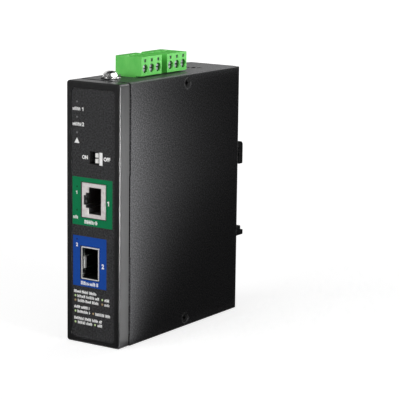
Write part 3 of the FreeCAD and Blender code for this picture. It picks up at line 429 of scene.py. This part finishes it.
finishes = {finish.name: finish for finish in (
    moulding("bezel_plastic", (0.005, 0.005, 0.0055), (0.0075, 0.0075, 0.008), 0.36, specular=0.42)
    .edge_wear_and_highlight((0.06, 0.06, 0.062)),
    front_film(),
    powder_coat("black_coat", (0.024, 0.024, 0.025), (0.116, 0.116, 0.121)),
    powder_coat("bracket_coat", (0.022, 0.022, 0.023), (0.12, 0.12, 0.124)),
    blacked_steel(),
    sheet_metal("bright_steel", (0.70, 0.70, 0.69), (0.50, 0.50, 0.50), 0.2),
    sheet_metal("spring_steel", (0.52, 0.52, 0.53), (0.36, 0.36, 0.38), 0.3, stretch=(1, 1, 6)),
    moulding("black_moulding", (0.010, 0.010, 0.011), (0.016, 0.016, 0.017), 0.5),
    moulding("white_moulding", (0.82, 0.82, 0.79), (0.88, 0.88, 0.86), 0.42),
    sheet_metal("jack_metal", (0.84, 0.80, 0.79), (0.70, 0.65, 0.64), 0.42,
                stretch=(1, 4, 1), metallic=0.4),
    sheet_metal("gold_plate", (0.83, 0.60, 0.24), (0.70, 0.48, 0.18), 0.22),
    sheet_metal("tin_plate", (0.72, 0.72, 0.70), (0.55, 0.55, 0.55), 0.34),
    sheet_metal("cage_metal", (0.80, 0.80, 0.79), (0.62, 0.62, 0.62), 0.28,
                stretch=(1, 5, 1), metallic=0.5),
    sheet_metal("gasket_metal", (0.93, 0.93, 0.92), (0.84, 0.84, 0.83), 0.28,
                stretch=(1, 5, 1), metallic=0.2),
    # Near-black finish painted on the vent walls as shade
    Finish("painted_vent_shade", (0.006, 0.006, 0.006), 0.7, specular=0.1),
    # Dark metal for the plates painted in as shade inside the test points
    sheet_metal("test_point_shade", (0.05, 0.05, 0.055), (0.03, 0.03, 0.03), 0.5),
    sheet_metal("clamp_steel", (0.24, 0.25, 0.26), (0.14, 0.15, 0.16), 0.3),
    # Darker cage metal painted on as the shade inside the module cage and the gasket's lip
    sheet_metal("painted_cage_shade", (0.16, 0.16, 0.165), (0.10, 0.10, 0.10), 0.3, stretch=(1, 5, 1)),
    laminate(),
    moulding("thermal_gel", (0.20, 0.21, 0.24), (0.26, 0.27, 0.30), 0.7),
    sheet_metal("sink_aluminium", (0.62, 0.63, 0.65), (0.5, 0.5, 0.52), 0.38, stretch=(1, 1, 8)),
    moulding("ferrite", (0.05, 0.05, 0.052), (0.075, 0.073, 0.07), 0.6, grain=0.5, depth=0.02),
    moulding("capacitor_can", (0.02, 0.025, 0.06), (0.03, 0.04, 0.09), 0.25),
    moulding("relay_case", (0.03, 0.06, 0.15), (0.04, 0.08, 0.18), 0.35),
    moulding("led_lens", (0.62, 0.64, 0.62), (0.72, 0.74, 0.72), 0.2),
    moulding("terminal_green", (0.10, 0.60, 0.08), (0.14, 0.66, 0.105), 0.48,
             grain=0.3, depth=0.008, specular=0.55)
    .edge_wear_and_highlight((0.20, 0.62, 0.16)),
)}
inks = {
    "white": ink("white_ink", (0.95, 0.95, 0.94)),
    "green": ink("copper_port_ink", (0.002, 0.19, 0.068)),
    "blue": ink("fibre_port_ink", (0.007, 0.062, 0.34)),
    "amber": ink("amber_ink", (0.42, 0.30, 0.16)),
    "lime": ink("lime_ink", (0.55, 0.72, 0.36)),
}
light_films = {
    "grey": ink("clear_film_grey", (0.17, 0.17, 0.175)),
    "green": ink("clear_film_green", (0.003, 0.075, 0.03)),
    "blue": ink("clear_film_blue", (0.008, 0.025, 0.13)),
}

# The finish of each piece of the construction
node_slots = {
    "bezel_plastic": ["front_bezel"],
    "overlay_film": ["front_overlay"],
    "black_coat": ["chassis", "wrap_cover"],
    "bracket_coat": ["rail_bracket"],
    "black_screw": ["cover_screws", "bracket_screws"],
    "bright_steel": ["ground_screw", "ground_washer", "ground_nut", "bracket_nuts", "board_screws"],
    "spring_steel": ["rail_spring", "spring_pin"],
    "black_moulding": ["switch_body", "rj45_insert", "sfp_connector", "magnetics", "phy_chip", "port_chip",
                       "poe_controller"],
    "white_moulding": ["switch_slider_1", "switch_slider_2"],
    "jack_metal": ["rj45_shield"],
    "gold_plate": ["rj45_contacts"],
    "tin_plate": ["header_pins_1", "header_pins_2", "plug_contacts_1", "plug_contacts_2", "board_standoffs"]
    + [f"clamp_cage_{number}" for number in clamps] + [f"terminal_screw_{number}" for number in clamps],
    "cage_metal": ["sfp_cage", "sfp_gasket"],
    "board_laminate": ["main_board"],
    "thermal_gel": ["thermal_pad"],
    "sink_aluminium": ["heat_sink"],
    "ferrite": ["power_transformer", "power_inductors"],
    "capacitor_can": ["capacitors"],
    "relay_case": ["alarm_relay"],
    "led_lens": ["status_leds", "light_pipes"],
    "terminal_green": ["terminal_header_1", "terminal_header_2", "terminal_plug_1", "terminal_plug_2"],
}
slot_of = {node: slot for slot, nodes in node_slots.items() for node in nodes}
for node, slot in slot_of.items():
    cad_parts[node].data.materials.clear()
    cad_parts[node].data.materials.append(finishes[slot].material)


def new_object(name, shape, material):
    """Puts a finished shape in the scene as an object."""
    mesh = bpy.data.meshes.new(name)
    shape.to_mesh(mesh)
    shape.free()
    mesh.materials.append(material)
    made = bpy.data.objects.new(name, mesh)
    bpy.context.scene.collection.objects.link(made)
    return made


def new_piece(name, shape, finish, body):
    """Makes a finished shape a piece of the model, smooth but for its creases."""
    piece = new_object(name, shape, finish.material)
    piece.data.shade_smooth()
    piece.data.set_sharp_from_angle(angle=crease_angle)
    flats = piece.modifiers.new("true_flats", "WEIGHTED_NORMAL")
    flats.keep_sharp = True
    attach(piece, body)
    return piece


def unit_square(shape, matrix):
    """A flat square, one across until the matrix places and scales it."""
    bmesh.ops.create_grid(shape, x_segments=1, y_segments=1, size=0.5, matrix=matrix)


def only_verts(made):
    """The vertices among the things that an operator made."""
    return [item for item in made if isinstance(item, bmesh.types.BMVert)]


def cut_across(shape, place, across):
    """Cuts all faces of a shape along a plane."""
    bmesh.ops.bisect_plane(shape, geom=shape.verts[:] + shape.edges[:] + shape.faces[:],
                           plane_co=place, plane_no=across)


def clear_slivers(shape):
    """Takes out faces and edges of no size."""
    bmesh.ops.dissolve_degenerate(shape, edges=shape.edges, dist=sliver * mm)


def round_edges(shape, edges, width, steps):
    """Rounds edges and gives the new faces."""
    return bmesh.ops.bevel(shape, geom=edges, offset=width, offset_type="OFFSET", segments=steps,
                           profile=0.5, affect="EDGES", clamp_overlap=True, material=-1)["faces"]


def mark_wear_and_highlight(faces, wear_and_highlight_mask):
    """Marks faces whose finish gets rubbed edges or a painted highlight."""
    for face in faces:
        for loop in face.loops:
            loop[wear_and_highlight_mask] = 1


def lift_foot(shape):
    """Lifts the lower face of a plug, to open the gap over the top panel."""
    for vert in shape.verts:
        above = vert.co.z - plug_foot
        if -plug_foot_play * mm < above < plug_lift_reach * mm:
            vert.co.z += plug_lift * mm * (1 - above / (plug_lift_reach * mm))


def eased(node, body="case", finish=None, reshape=None):
    """A construction piece with its sharp edges eased, after a change to its shape where one is given."""
    shape = bmesh.new()
    shape.from_mesh(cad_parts[node].data)
    bmesh.ops.remove_doubles(shape, verts=shape.verts, dist=merge_gap * mm)
    bmesh.ops.dissolve_limit(shape, angle_limit=flat_angle, verts=shape.verts, edges=shape.edges)
    wear_and_highlight_mask = shape.loops.layers.float.new("edge")
    if reshape:
        reshape(shape)
    sharp = [e for e in shape.edges if len(e.link_faces) == 2 and e.calc_face_angle(0) > sharp_angle]
    mark_wear_and_highlight(round_edges(shape, sharp, edge_ease[node] * mm, ease_steps), wear_and_highlight_mask)
    clear_slivers(shape)
    piece = new_piece(f"{node}_eased", shape, finishes[finish or slot_of[node]], body)
    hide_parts(node)
    return piece


# Construction pieces that show their edges
for node in ("front_bezel", "wrap_cover", "rail_bracket", "rj45_shield", "ground_washer"):
    eased(node)
for number in pair:
    eased(f"switch_slider_{number}", f"slider_{number}")
    eased(f"terminal_plug_{number}", f"plug_{number}", reshape=lift_foot)


def retouch(piece, finish, cuts, chosen):
    """Cuts a piece's faces along planes and gives a second finish to the faces that are chosen."""
    shape = bmesh.new()
    shape.from_mesh(piece.data)
    for place, across in cuts:
        cut_across(shape, place, across)
    clear_slivers(shape)
    shape.to_mesh(piece.data)
    shape.free()
    piece.data.materials.append(finishes[finish].material)
    for face in piece.data.polygons:
        if chosen(face):
            face.material_index = 1


def in_vent(face):
    """The walls of the vent holes, painted near-black as the shade inside the holes."""
    left, right, front, rear = (mm * reach for reach in vent_zone)
    in_zone = left < face.center.x < right and front < face.center.y < rear
    return in_zone and face.center.z > panel_under * mm and abs(face.normal.z) < wall_slope


def on_tongue(face):
    """The lip of the latch tongue, given a bright finish as a painted highlight."""
    low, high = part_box("sfp_cage")
    across, depth = face.center.x - low.x, face.center.y - low.y
    beside = abs(face.center.z - (low.z + high.z) / 2)
    in_lip = tongue_foot * mm < across < tongue_rise * mm
    return in_lip and depth < tongue_highlight_depth * mm and beside < tongue_half * mm


def inside_lip(face):
    """The inner part of the gasket's lip and its inside, painted dark as shade."""
    low, high = lip_box
    return low.x < face.center.x < high.x and low.z < face.center.z < high.z


# The top panel's vent walls get painted shade
retouch(eased("chassis"), "painted_vent_shade", (), in_vent)
# The cage is painted dark as the shade inside it, and its tongue's lip bright as a painted highlight
tongue_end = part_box("sfp_cage")[0].y + tongue_highlight_depth * mm
tongue_cuts = [((0, tongue_end, 0), (0, 1, 0))]
retouch(eased("sfp_cage", finish="painted_cage_shade"), "gasket_metal", tongue_cuts, on_tongue)
# The gasket's inner lip is painted dark as shade, leaving a thin bright edge
lip_edge = Vector((lip_bright * mm, 0, lip_bright * mm))
lip_box = (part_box("sfp_gasket")[0] + lip_edge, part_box("sfp_gasket")[1] - lip_edge)
lip_cuts = [(corner, across) for corner in lip_box for across in ((1, 0, 0), (0, 0, 1))]
retouch(eased("sfp_gasket", finish="gasket_metal"), "painted_cage_shade", lip_cuts, inside_lip)


def ring_edges(ring):
    """The edges of a new circle."""
    return list({edge for vert in ring["verts"] for edge in vert.link_edges})


def carry_loop(shape, loop, radius, height):
    """Carries a round loop of edges on to another radius and height, and gives the new loop."""
    made = bmesh.ops.extrude_edge_only(shape, edges=loop)["geom"]
    ring = only_verts(made)
    grown = radius / math.hypot(ring[0].co.x, ring[0].co.y)
    bmesh.ops.scale(shape, vec=(grown, grown, 1), verts=ring)
    bmesh.ops.translate(shape, vec=(0, 0, height - ring[0].co.z), verts=ring)
    kept = set(ring)
    return [item for item in made if isinstance(item, bmesh.types.BMEdge) and kept.issuperset(item.verts)]


def turn_down(shape, loop, steps):
    """Turns the rest of a screw below a loop, step by step, and closes its end."""
    for radius, height in steps:
        loop = carry_loop(shape, loop, radius, height)
    bmesh.ops.edgeloop_fill(shape, edges=loop)
    bmesh.ops.recalc_face_normals(shape, faces=shape.faces)


def crossed_screw(top_radius, recess, steps):
    """A screw with a crossed recess; its head's flat is at height 0 and the shank runs down."""
    shape = bmesh.new()
    reach, half, depth = recess
    corners = []
    for quarter in range(4):
        turned = Matrix.Rotation(quarter * math.pi / 2, 3, "Z")
        for x, y in ((reach, -half), (reach, half), (half, half)):
            corners.append(shape.verts.new(turned @ Vector((x, y, 0))))
    mouth = shape.faces.new(corners)
    mouth_edges = list(mouth.edges)
    floor = only_verts(bmesh.ops.extrude_face_region(shape, geom=[mouth])["geom"])
    if mouth.is_valid:
        bmesh.ops.delete(shape, geom=[mouth], context="FACES_ONLY")
    bmesh.ops.scale(shape, vec=(recess_taper, recess_taper, 1), verts=floor)
    bmesh.ops.translate(shape, vec=(0, 0, -depth), verts=floor)
    rim = ring_edges(bmesh.ops.create_circle(shape, segments=screw_sides, radius=top_radius))
    bmesh.ops.bridge_loops(shape, edges=mouth_edges + rim)
    turn_down(shape, rim, steps)
    return shape


def dished_screw(reach):
    """A flush screw whose head is dished round its recess, with a painted highlight ring at its rim."""
    profile = ((cover_head - cover_rim, 0), (cover_head - cover_round, 0), (cover_head, -cover_round),
               (cover_shank, -cover_cone), (cover_shank, -reach))
    steps = [(radius, height + cover_dish) for radius, height in profile]
    shape = crossed_screw(cover_dish_floor, cover_recess, steps)
    shape.transform(Matrix.Translation((0, 0, -cover_dish)))
    wear_and_highlight_mask = shape.loops.layers.float.new("edge")
    rim = []
    for face in shape.faces:
        middle = face.calc_center_median()
        if math.hypot(middle.x, middle.y) > cover_head - cover_highlight_ring and middle.z > -cover_highlight_depth:
            rim.append(face)
    mark_wear_and_highlight(rim, wear_and_highlight_mask)
    return shape


def slotted_screw(radius, length):
    """A cheese-head screw with a straight slot; its head's flat is at height 0."""
    shape = bmesh.new()
    bmesh.ops.create_circle(shape, cap_ends=True, segments=screw_sides, radius=radius,
                            matrix=Matrix.Translation((0, 0, -slot_depth)))
    for side in (slot_half, -slot_half):
        cut_across(shape, (0, side, 0), (0, 1, 0))
    lands = [face for face in shape.faces if abs(face.calc_center_median().y) > slot_half]
    raised = bmesh.ops.extrude_face_region(shape, geom=lands)["geom"]
    bmesh.ops.delete(shape, geom=[face for face in lands if face.is_valid], context="FACES_ONLY")
    bmesh.ops.translate(shape, vec=(0, 0, slot_depth), verts=only_verts(raised))
    loop = [edge for edge in shape.edges if edge.is_boundary]
    turn_down(shape, loop, ((radius, -clamp_head_height), (clamp_shank, -clamp_head_height),
                            (clamp_shank, -length)))
    crown = [edge for edge in shape.edges if all(abs(vert.co.z) < crown_play for vert in edge.verts)]
    round_edges(shape, crown, crown_round, crown_steps)
    return shape


def set_in(shape, centre, outward):
    """Moves a screw to its place in the case, its head facing outward."""
    turned = Vector(outward).to_track_quat("Z", "Y").to_matrix().to_4x4()
    shape.transform(Matrix.Translation(centre) @ turned @ Matrix.Scale(mm, 4))
    return shape


def gathered(shapes):
    """Several shapes as one."""
    whole = bmesh.new()
    for shape in shapes:
        mesh = bpy.data.meshes.new("part")
        shape.to_mesh(mesh)
        shape.free()
        whole.from_mesh(mesh)
        bpy.data.meshes.remove(mesh)
    return whole


# Cover screws lie flush in both sides
low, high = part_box("cover_screws")
cover_y = (low.y + high.y) / 2
cover_heights = (low.z + cover_head * mm, high.z - cover_head * mm)
heads = [set_in(dished_screw(cover_screw_reach), (x, cover_y, z), (side, 0, 0))
         for x, side in ((low.x, -1), (high.x, 1)) for z in cover_heights]
cover_screws = new_piece("cover_screw_heads", gathered(heads), finishes["black_screw"], "case")
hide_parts("cover_screws")

# Bracket screws lie flush in the bracket's back
low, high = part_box("bracket_screws")
heads = [set_in(dished_screw((high.y - low.y) / mm), (0, high.y, z), (0, 1, 0))
         for z in (low.z + cover_head * mm, high.z - cover_head * mm)]
bracket_screws = new_piece("bracket_screw_heads", gathered(heads), finishes["black_screw"], "case")
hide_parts("bracket_screws")

# Ground screw: a domed pan head on its toothed washer
low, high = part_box("ground_screw")
ground_steps = [*ground_dome, (ground_head, -ground_rise + ground_round),
                (ground_head - ground_round, -ground_rise), (ground_shank, -ground_rise),
                (ground_shank, (low.z - high.z) / mm)]
ground = crossed_screw(ground_flat, ground_recess, ground_steps)
set_in(ground, ((low.x + high.x) / 2, (low.y + high.y) / 2, high.z), (0, 0, 1))
ground_screw = new_piece("ground_screw_head", ground, finishes["bright_steel"], "case")
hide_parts("ground_screw")

# Terminal screws turn in their plugs
for number in clamps:
    low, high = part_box(f"terminal_screw_{number}")
    shape = slotted_screw((high.y - low.y) / 2 / mm - clamp_head_gap, (high.x - low.x) / mm)
    set_in(shape, (high.x, (low.y + high.y) / 2, (low.z + high.z) / 2), (1, 0, 0))
    piece = new_piece(f"terminal_screw_head_{number}", shape, finishes["clamp_steel"], f"screw_{number}")
    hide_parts(f"terminal_screw_{number}")

# A dark plate at the floor of each test point above the screws stands in for the shade inside it
for number in pair:
    low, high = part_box(f"terminal_plug_{number}")
    contacts = bmesh.new()
    for pole in range(poles * (number - 1) + 1, poles * number + 1):
        screw_low, screw_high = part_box(f"terminal_screw_{pole}")
        centre = (high.x - test_depth * mm, (screw_low.y + screw_high.y) / 2, high.z - test_drop * mm)
        size = Matrix.Diagonal((test_thick * mm, test_side * mm, test_side * mm, 1))
        bmesh.ops.create_cube(contacts, size=1, matrix=Matrix.Translation(centre) @ size)
    piece = new_piece(f"test_contacts_{number}", contacts, finishes["test_point_shade"], f"plug_{number}")


# Printing on the front film, drawn flat in millimetres and then given the thickness of the ink
film_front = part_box("front_overlay")[0].y
upright = Matrix.Rotation(math.pi / 2, 4, "X")


def block(shape, left, right, bottom, top):
    """A printed rectangle."""
    place = Matrix.Translation(((left + right) / 2, 0, (bottom + top) / 2))
    size = Matrix.Diagonal((right - left, top - bottom, 1, 1))
    unit_square(shape, place @ upright @ size)


def spot(shape, x, z, radius, sides=20):
    """A printed dot, or a triangle where it has three sides."""
    bmesh.ops.create_circle(shape, cap_ends=True, segments=sides, radius=radius,
                            matrix=Matrix.Translation((x, 0, z)) @ upright)


def lettering(shape, text, x, z, size):
    """Plain figures or words, centred at x and z."""
    curve = bpy.data.curves.new("lettering", "FONT")
    curve.body = text
    curve.size = size
    curve.offset = letter_weight * size
    curve.align_x = "CENTER"
    curve.align_y = "CENTER"
    written = bpy.data.objects.new("lettering", curve)
    bpy.context.scene.collection.objects.link(written)
    mesh = bpy.data.meshes.new_from_object(written.evaluated_get(bpy.context.evaluated_depsgraph_get()))
    bpy.data.objects.remove(written)
    mesh.transform(Matrix.Translation((x, 0, z)) @ upright @ Matrix.Diagonal((letter_width, 1, 1, 1)))
    shape.from_mesh(mesh)
    bpy.data.meshes.remove(mesh)


def figure_one(shape, x, z, size):
    """A plain figure 1: a stem with a flag."""
    stem, rise = one_stem * size, one_rise * size
    reach, foot, head = (part * stem for part in one_flag)
    block(shape, x - stem / 2, x + stem / 2, z - rise, z + rise)
    block(shape, x - reach, x - stem / 2, z + rise - foot, z + rise - head)


def small_print(shape, start, end, z, height):
    """A line of short upright strokes in word-like groups, in place of small type."""
    by_start, by_height = seed_weights
    chance = random.Random(round(by_start * start + by_height * z))
    foot = z - height / 2
    x = start
    strokes = 0
    while x < end - stroke:
        rise = height * chance.choice(stroke_rises)
        block(shape, x, x + stroke, foot, foot + rise)
        x += stroke
        bar = chance.choice(stroke_bars)
        if bar and x + stroke < end:
            level = foot + bar * (rise - stroke)
            block(shape, x, x + stroke, level, level + stroke)
        strokes += 1
        word_ends = strokes > word_strokes and chance.random() < word_chance
        strokes = 0 if word_ends else strokes
        x += word_gap * stroke if word_ends else chance.uniform(*stroke_gap) * stroke


def cut_window(shape, left, right, bottom, top):
    """Takes an opening out of a printed field."""
    for x in (left, right):
        cut_across(shape, (x, 0, 0), (1, 0, 0))
    for z in (bottom, top):
        cut_across(shape, (0, 0, z), (0, 0, 1))
    inside = [face for face in shape.faces if left < face.calc_center_median().x < right
              and bottom < face.calc_center_median().z < top]
    bmesh.ops.delete(shape, geom=inside, context="FACES")


def opening_round(node):
    """The opening that a port needs in the printing, in millimetres, wider on the left as a painted shadow
    line.
    """
    low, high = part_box(node)
    return (low.x / mm - field_left_shade_gap, high.x / mm + field_gap,
            low.z / mm - field_gap, high.z / mm + field_gap)


def printed(name, shape, finish, coat=1):
    """Gives flat printing its thickness and puts it on the film; a second coat lies on the first."""
    made = bmesh.ops.extrude_face_region(shape, geom=shape.faces[:])["geom"]
    bmesh.ops.translate(shape, vec=(0, -coat * ink_thick, 0), verts=only_verts(made))
    bmesh.ops.recalc_face_normals(shape, faces=shape.faces)
    shape.transform(Matrix.Translation((0, film_front, 0)) @ Matrix.Scale(mm, 4))
    return new_piece(name, shape, finish, "case")


# Coloured fields round the two ports
for name, field, port, colour in (("copper_port_field", copper_field, "rj45_shield", "green"),
                                  ("fibre_port_field", fibre_field, "sfp_gasket", "blue")):
    shape = bmesh.new()
    block(shape, *field)
    cut_window(shape, *opening_round(port))
    printed(name, shape, inks[colour])

# White printing, and the bullets of the legend
white = bmesh.new()
lime = bmesh.new()
amber = bmesh.new()
for caption in captions:
    small_print(white, *caption)
for figure in figure_ones:
    figure_one(white, *figure)
for word in words:
    lettering(white, *word)
spot(white, *triangle, sides=3)
block(white, *switch_bar)
for z, runs, lime_bullets, amber_bullets in legend:
    for start, end in runs:
        small_print(white, start, end, z, legend_height)
    for x in lime_bullets:
        spot(lime, x, z, bullet_radius)
    for x in amber_bullets:
        spot(amber, x, z, bullet_radius)
printed("white_printing", white, inks["white"], coat=2)
printed("lime_bullets", lime, inks["lime"])
printed("amber_bullets", amber, inks["amber"])

# Clear windows in the film over the light pipes
for name, heights, film in light_rows:
    windows = bmesh.new()
    for z in heights:
        spot(windows, light_x, z, light_radius, light_sides)
    printed(f"{name}_light_windows", windows, light_films[film], coat=2)


# Studio: a pale floor, soft boxes and panels that only show in the sheen of a surface
def white_when_seen(tree):
    """One where the camera, a reflection or a clear piece looks, and nothing elsewhere."""
    path = tree.nodes.new("ShaderNodeLightPath")
    seen = path.outputs["Is Camera Ray"]
    for ray in ("Is Glossy Ray", "Is Transmission Ray"):
        seen = math_step(tree, "MAXIMUM", seen, path.outputs[ray])
    return seen


def studio_floor():
    """A grey floor that takes the object's shadow and is seen nearly white."""
    shape = bmesh.new()
    size = Matrix.Diagonal((floor_side, floor_side, 1, 1))
    unit_square(shape, Matrix.Translation((0, 0, -floor_drop)) @ size)
    material = bpy.data.materials.new("pale_floor")
    material.use_nodes = True
    tree = material.node_tree
    shader = tree.nodes["Principled BSDF"]
    shader.inputs["Base Color"].default_value = (floor_grey, floor_grey, floor_grey, 1)
    shader.inputs["Roughness"].default_value = 0.9
    shader.inputs["Specular IOR Level"].default_value = 0.1
    shader.inputs["Emission Color"].default_value = (1, 1, 1, 1)
    reach = tree.nodes.new("ShaderNodeVectorMath")
    reach.operation = "LENGTH"
    tree.links.new(tree.nodes.new("ShaderNodeTexCoord").outputs["Object"], reach.inputs[0])
    near, near_level = floor_near
    far, far_level = floor_far
    level = map_range(tree, reach.outputs["Value"], near, far, near_level, far_level)
    glow = math_step(tree, "MULTIPLY", white_when_seen(tree), level)
    tree.links.new(glow, shader.inputs["Emission Strength"])
    floor = new_object("floor", shape, material)


def studio_world():
    """Even light from all round, seen as white."""
    world = bpy.data.worlds.new("studio")
    bpy.context.scene.world = world
    world.use_nodes = True
    tree = world.node_tree
    sky = tree.nodes["Background"]
    sky.inputs["Color"].default_value = (1, 1, 1, 1)
    level = map_range(tree, white_when_seen(tree), 0, 1, world_light, world_seen)
    tree.links.new(level, sky.inputs["Strength"])


def soft_box(name, place, width, height, brightness):
    """A soft box of even brightness, turned to the middle of the case."""
    light = bpy.data.lights.new(name, "AREA")
    light.shape = "RECTANGLE"
    light.size = width
    light.size_y = height
    light.energy = brightness * math.pi * width * height
    lamp = bpy.data.objects.new(name, light)
    lamp.location = place
    lamp.rotation_euler = (Vector(case_middle) - Vector(place)).to_track_quat("-Z", "Y").to_euler()
    bpy.context.scene.collection.objects.link(lamp)


def fan_of_light(tree, level):
    """Brightness that fades in a fan from the lower front corner of a side to its rear."""
    place = tree.nodes.new("ShaderNodeSeparateXYZ")
    tree.links.new(tree.nodes.new("ShaderNodeTexCoord").outputs["Object"], place.inputs["Vector"])
    corner_y, corner_z = fan_corner
    back = math_step(tree, "SUBTRACT", place.outputs["Y"], corner_y)
    opened = math_step(tree, "MINIMUM", place.outputs["Z"], fan_height)
    up = math_step(tree, "SUBTRACT", opened, corner_z)
    slope = math_step(tree, "MAXIMUM", math_step(tree, "DIVIDE", back, up), 0)
    fan = math_step(tree, "POWER", fan_fall, math_step(tree, "POWER", slope, fan_bend))
    above = math_step(tree, "SUBTRACT", place.outputs["Z"], fan_top)
    top = math_step(tree, "POWER", fan_top_fall, math_step(tree, "MAXIMUM", above, 0))
    return math_step(tree, "MULTIPLY", math_step(tree, "MULTIPLY", level, fan), top)


def sheen_panel(name, place, facing, width, height, level, fan=False):
    """A panel seen only in the sheen of a surface, even or fading in a fan."""
    turned = Vector(facing).to_track_quat("Z", "Y").to_matrix().to_4x4()
    shape = bmesh.new()
    size = Matrix.Diagonal((width, height, 1, 1))
    unit_square(shape, Matrix.Translation(place) @ turned @ size)
    material = bpy.data.materials.new(name)
    material.cycles.emission_sampling = "NONE"
    material.use_nodes = True
    tree = material.node_tree
    glow = tree.nodes.new("ShaderNodeEmission")
    glow.inputs["Strength"].default_value = level
    if fan:
        tree.links.new(fan_of_light(tree, level), glow.inputs["Strength"])
    tree.links.new(glow.outputs["Emission"], tree.nodes["Material Output"].inputs["Surface"])
    panel = new_object(name, shape, material)
    panel.visible_camera = False
    panel.visible_diffuse = False
    panel.visible_shadow = False
    panel.visible_transmission = False


def studio_camera():
    """The camera, as it stood for the photograph."""
    lens = bpy.data.cameras.new("camera")
    lens.lens = camera_lens
    lens.sensor_width = camera_sensor
    lens.clip_start = camera_near
    camera = bpy.data.objects.new("camera", lens)
    looking = Matrix.Rotation(math.radians(camera_azimuth), 4, "Z")
    looking = looking @ Matrix.Rotation(math.radians(90 - camera_elevation), 4, "X")
    looking = looking @ Matrix.Rotation(math.radians(camera_roll), 4, "Z")
    camera.matrix_world = Matrix.Translation(camera_place) @ looking
    bpy.context.scene.collection.objects.link(camera)
    bpy.context.scene.camera = camera


studio_floor()
studio_world()
for name, box in soft_boxes.items():
    soft_box(name, *box)
for name, side in (("right", 1), ("left", -1)):
    out, up, width, height, level = fan_panel
    sheen_panel(f"{name}_panel", (out * side, side_depth, up), (1, 0, 0), width, height, level, fan=True)
    out, up, width, height, level = foot_flag
    sheen_panel(f"{name}_flag", (out * side, side_depth, up), (0, 0, 1), width, height, level)
for name, panel in sheen_panels.items():
    sheen_panel(name, *panel)
studio_camera()
bpy.context.scene.view_settings.view_transform = "Standard"
